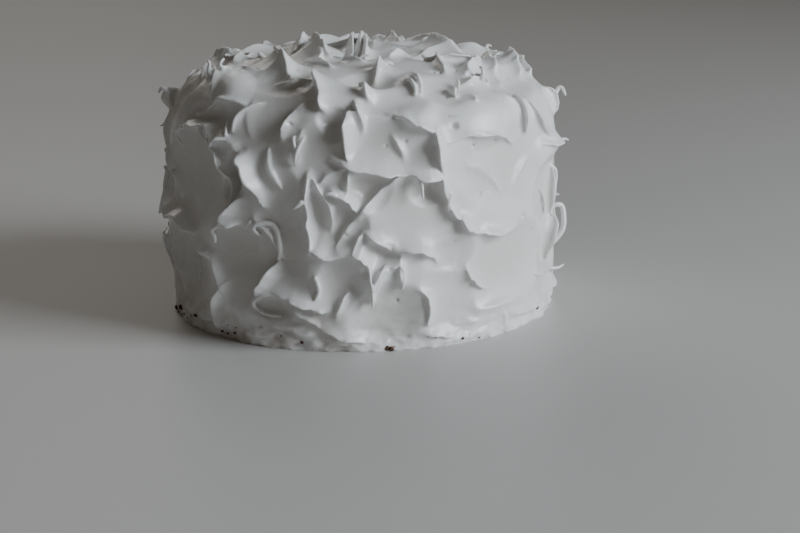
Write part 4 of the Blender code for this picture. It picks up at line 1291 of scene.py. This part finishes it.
seeded_crumbs = [
    (random.uniform(-180, 180), random.uniform(*CRUMB_CLIMB), size)
    for size in random.uniform(*CRUMB_SIZE, SEEDED_CRUMBS)
]
angle, climb, size = np.array(CRUMBS + seeded_crumbs).T
half_widths = size * MM
plain, outs, _, _ = skin_frame(np.radians(angle), climb * MM)
centres = iced_point(plain, outs) + outs * (CRUMB_STANDS_OUT * half_widths)[:, None]
centres[:, 2] = np.maximum(centres[:, 2], CRUMB_LOWEST * half_widths)
lumps = [crumb(random, centre, half) for centre, half in zip(centres, half_widths)]
crumb_mesh = closed_mesh("crumbs", lumps)
shape = bmesh.new()
shape.from_mesh(crumb_mesh)
bmesh.ops.remove_doubles(shape, verts=shape.verts[:], dist=CUT_TOLERANCE)
bmesh.ops.recalc_face_normals(shape, faces=shape.faces[:])
shape.to_mesh(crumb_mesh)
shape.free()
crumb_mesh.transform(Matrix.Translation(AXIS))
crumb_mesh.shade_smooth()
crumbs = bpy.data.objects.new("crumbs", crumb_mesh)
bpy.context.scene.collection.objects.link(crumbs)
print("crumbs", len(lumps), "faces", len(crumb_mesh.polygons))


# %% Dark and dry
CRUMB_DARK = (0.030, 0.016, 0.010, 1)
CRUMB_LIGHT = (0.16, 0.075, 0.040, 1)
CRUMB_ROUGHNESS = 0.85
GRAIN_NOISE = (500, 3)
GRAIN_EDGES = (0.35, 0.7)
PORE_NOISE = (1800, 3)
PORE_HEIGHT = 0.1 * MM


def crumb_material():
    """Dark brown, mixed with a lighter brown by grains of noise, rough, and pitted by a finer noise."""
    material, tree, shader = new_material("chocolate crumb")
    where = tree.nodes.new("ShaderNodeTexCoord").outputs["Object"]
    grains = ranged(tree, noise(tree, where, *GRAIN_NOISE), *GRAIN_EDGES, 0, 1)
    tree.links.new(blended(tree, grains, CRUMB_DARK, CRUMB_LIGHT), shader.inputs["Base Color"])
    shader.inputs["Roughness"].default_value = CRUMB_ROUGHNESS
    pores = bump(tree, noise(tree, where, *PORE_NOISE), PORE_HEIGHT)
    tree.links.new(pores, shader.inputs["Normal"])
    print("crumb material, nodes", len(tree.nodes))
    return material


crumb_mesh.materials.append(crumb_material())
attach(crumbs, "root")

# %% [markdown]
# ## Floor, light and camera
# The cake stands on a plain pale floor that runs out of sight. One big soft lamp on the right is the
# window: light that grazes the icing shows every fold, and leaves the left side grey. A weak lamp
# behind and a dim warm room keep the far side readable. The camera looks a little down at the cake
# through a long lens, which keeps its sides upright.

# %% Floor
FLOOR_HALF = 4
FLOOR_PALE = (0.58, 0.57, 0.555, 1)
FLOOR_ROUGHNESS = 0.5

pale, _, floor_shader = new_material("pale floor")
floor_shader.inputs["Base Color"].default_value = FLOOR_PALE
floor_shader.inputs["Roughness"].default_value = FLOOR_ROUGHNESS
floor_mesh = bpy.data.meshes.new("floor")
corners = [(x * FLOOR_HALF, y * FLOOR_HALF, 0) for x, y in ((-1, -1), (1, -1), (1, 1), (-1, 1))]
floor_mesh.from_pydata(corners, [], [(0, 1, 2, 3)])
floor_mesh.materials.append(pale)
floor = bpy.data.objects.new("floor", floor_mesh)
bpy.context.scene.collection.objects.link(floor)
print("floor in metres", 2 * FLOOR_HALF, "by", 2 * FLOOR_HALF)


# %% Lights
ROOM_WARM = (0.50, 0.45, 0.385, 1)
ROOM_STRENGTH = 0.14


def soft_light(name, place, side, watts, colour):
    """A square lamp with sides of this length, aimed at the middle of the cake."""
    lamp = bpy.data.lights.new(name, "AREA")
    lamp.size = side
    lamp.energy = watts
    lamp.color = colour
    light = bpy.data.objects.new(name, lamp)
    light.location = place
    aim = Vector((0, 0, CAKE_HEIGHT / 2)) - Vector(place)
    light.rotation_euler = aim.to_track_quat("-Z", "Y").to_euler()
    bpy.context.scene.collection.objects.link(light)
    print(name, watts, "watts, metres away", round(aim.length, 2))


soft_light("window", place=(1.80, -0.88, 0.90), side=1.1, watts=52, colour=(0.87, 0.94, 1.0))
soft_light("back fill", place=(-0.8, 2.2, 1.4), side=1.2, watts=8, colour=(1.0, 0.97, 0.93))

world = bpy.data.worlds.new("room")
world.use_nodes = True
room = world.node_tree.nodes["Background"]
room.inputs["Color"].default_value = ROOM_WARM
room.inputs["Strength"].default_value = ROOM_STRENGTH
bpy.context.scene.world = world

# %% Camera
LENS = 80.7
SENSOR_WIDTH = 36
CAMERA_PLACE = AXIS + [0.0009, -1.0553, 0.282]
CAMERA_DOWN = math.radians(13.94)
CAMERA_TURN = math.radians(1.16)
CAMERA_ROLL = math.radians(0.65)

camera_data = bpy.data.cameras.new("camera")
camera_data.lens = LENS
camera_data.sensor_width = SENSOR_WIDTH
camera = bpy.data.objects.new("camera", camera_data)
aim = Matrix.Rotation(-CAMERA_TURN, 4, "Z") @ Matrix.Rotation(math.pi / 2 - CAMERA_DOWN, 4, "X")
camera.matrix_world = Matrix.Translation(CAMERA_PLACE) @ aim @ Matrix.Rotation(-CAMERA_ROLL, 4, "Z")
bpy.context.scene.collection.objects.link(camera)
bpy.context.scene.camera = camera
print("camera, metres from the cake's axis", round(float(np.hypot(*(CAMERA_PLACE - AXIS)[:2])), 2))
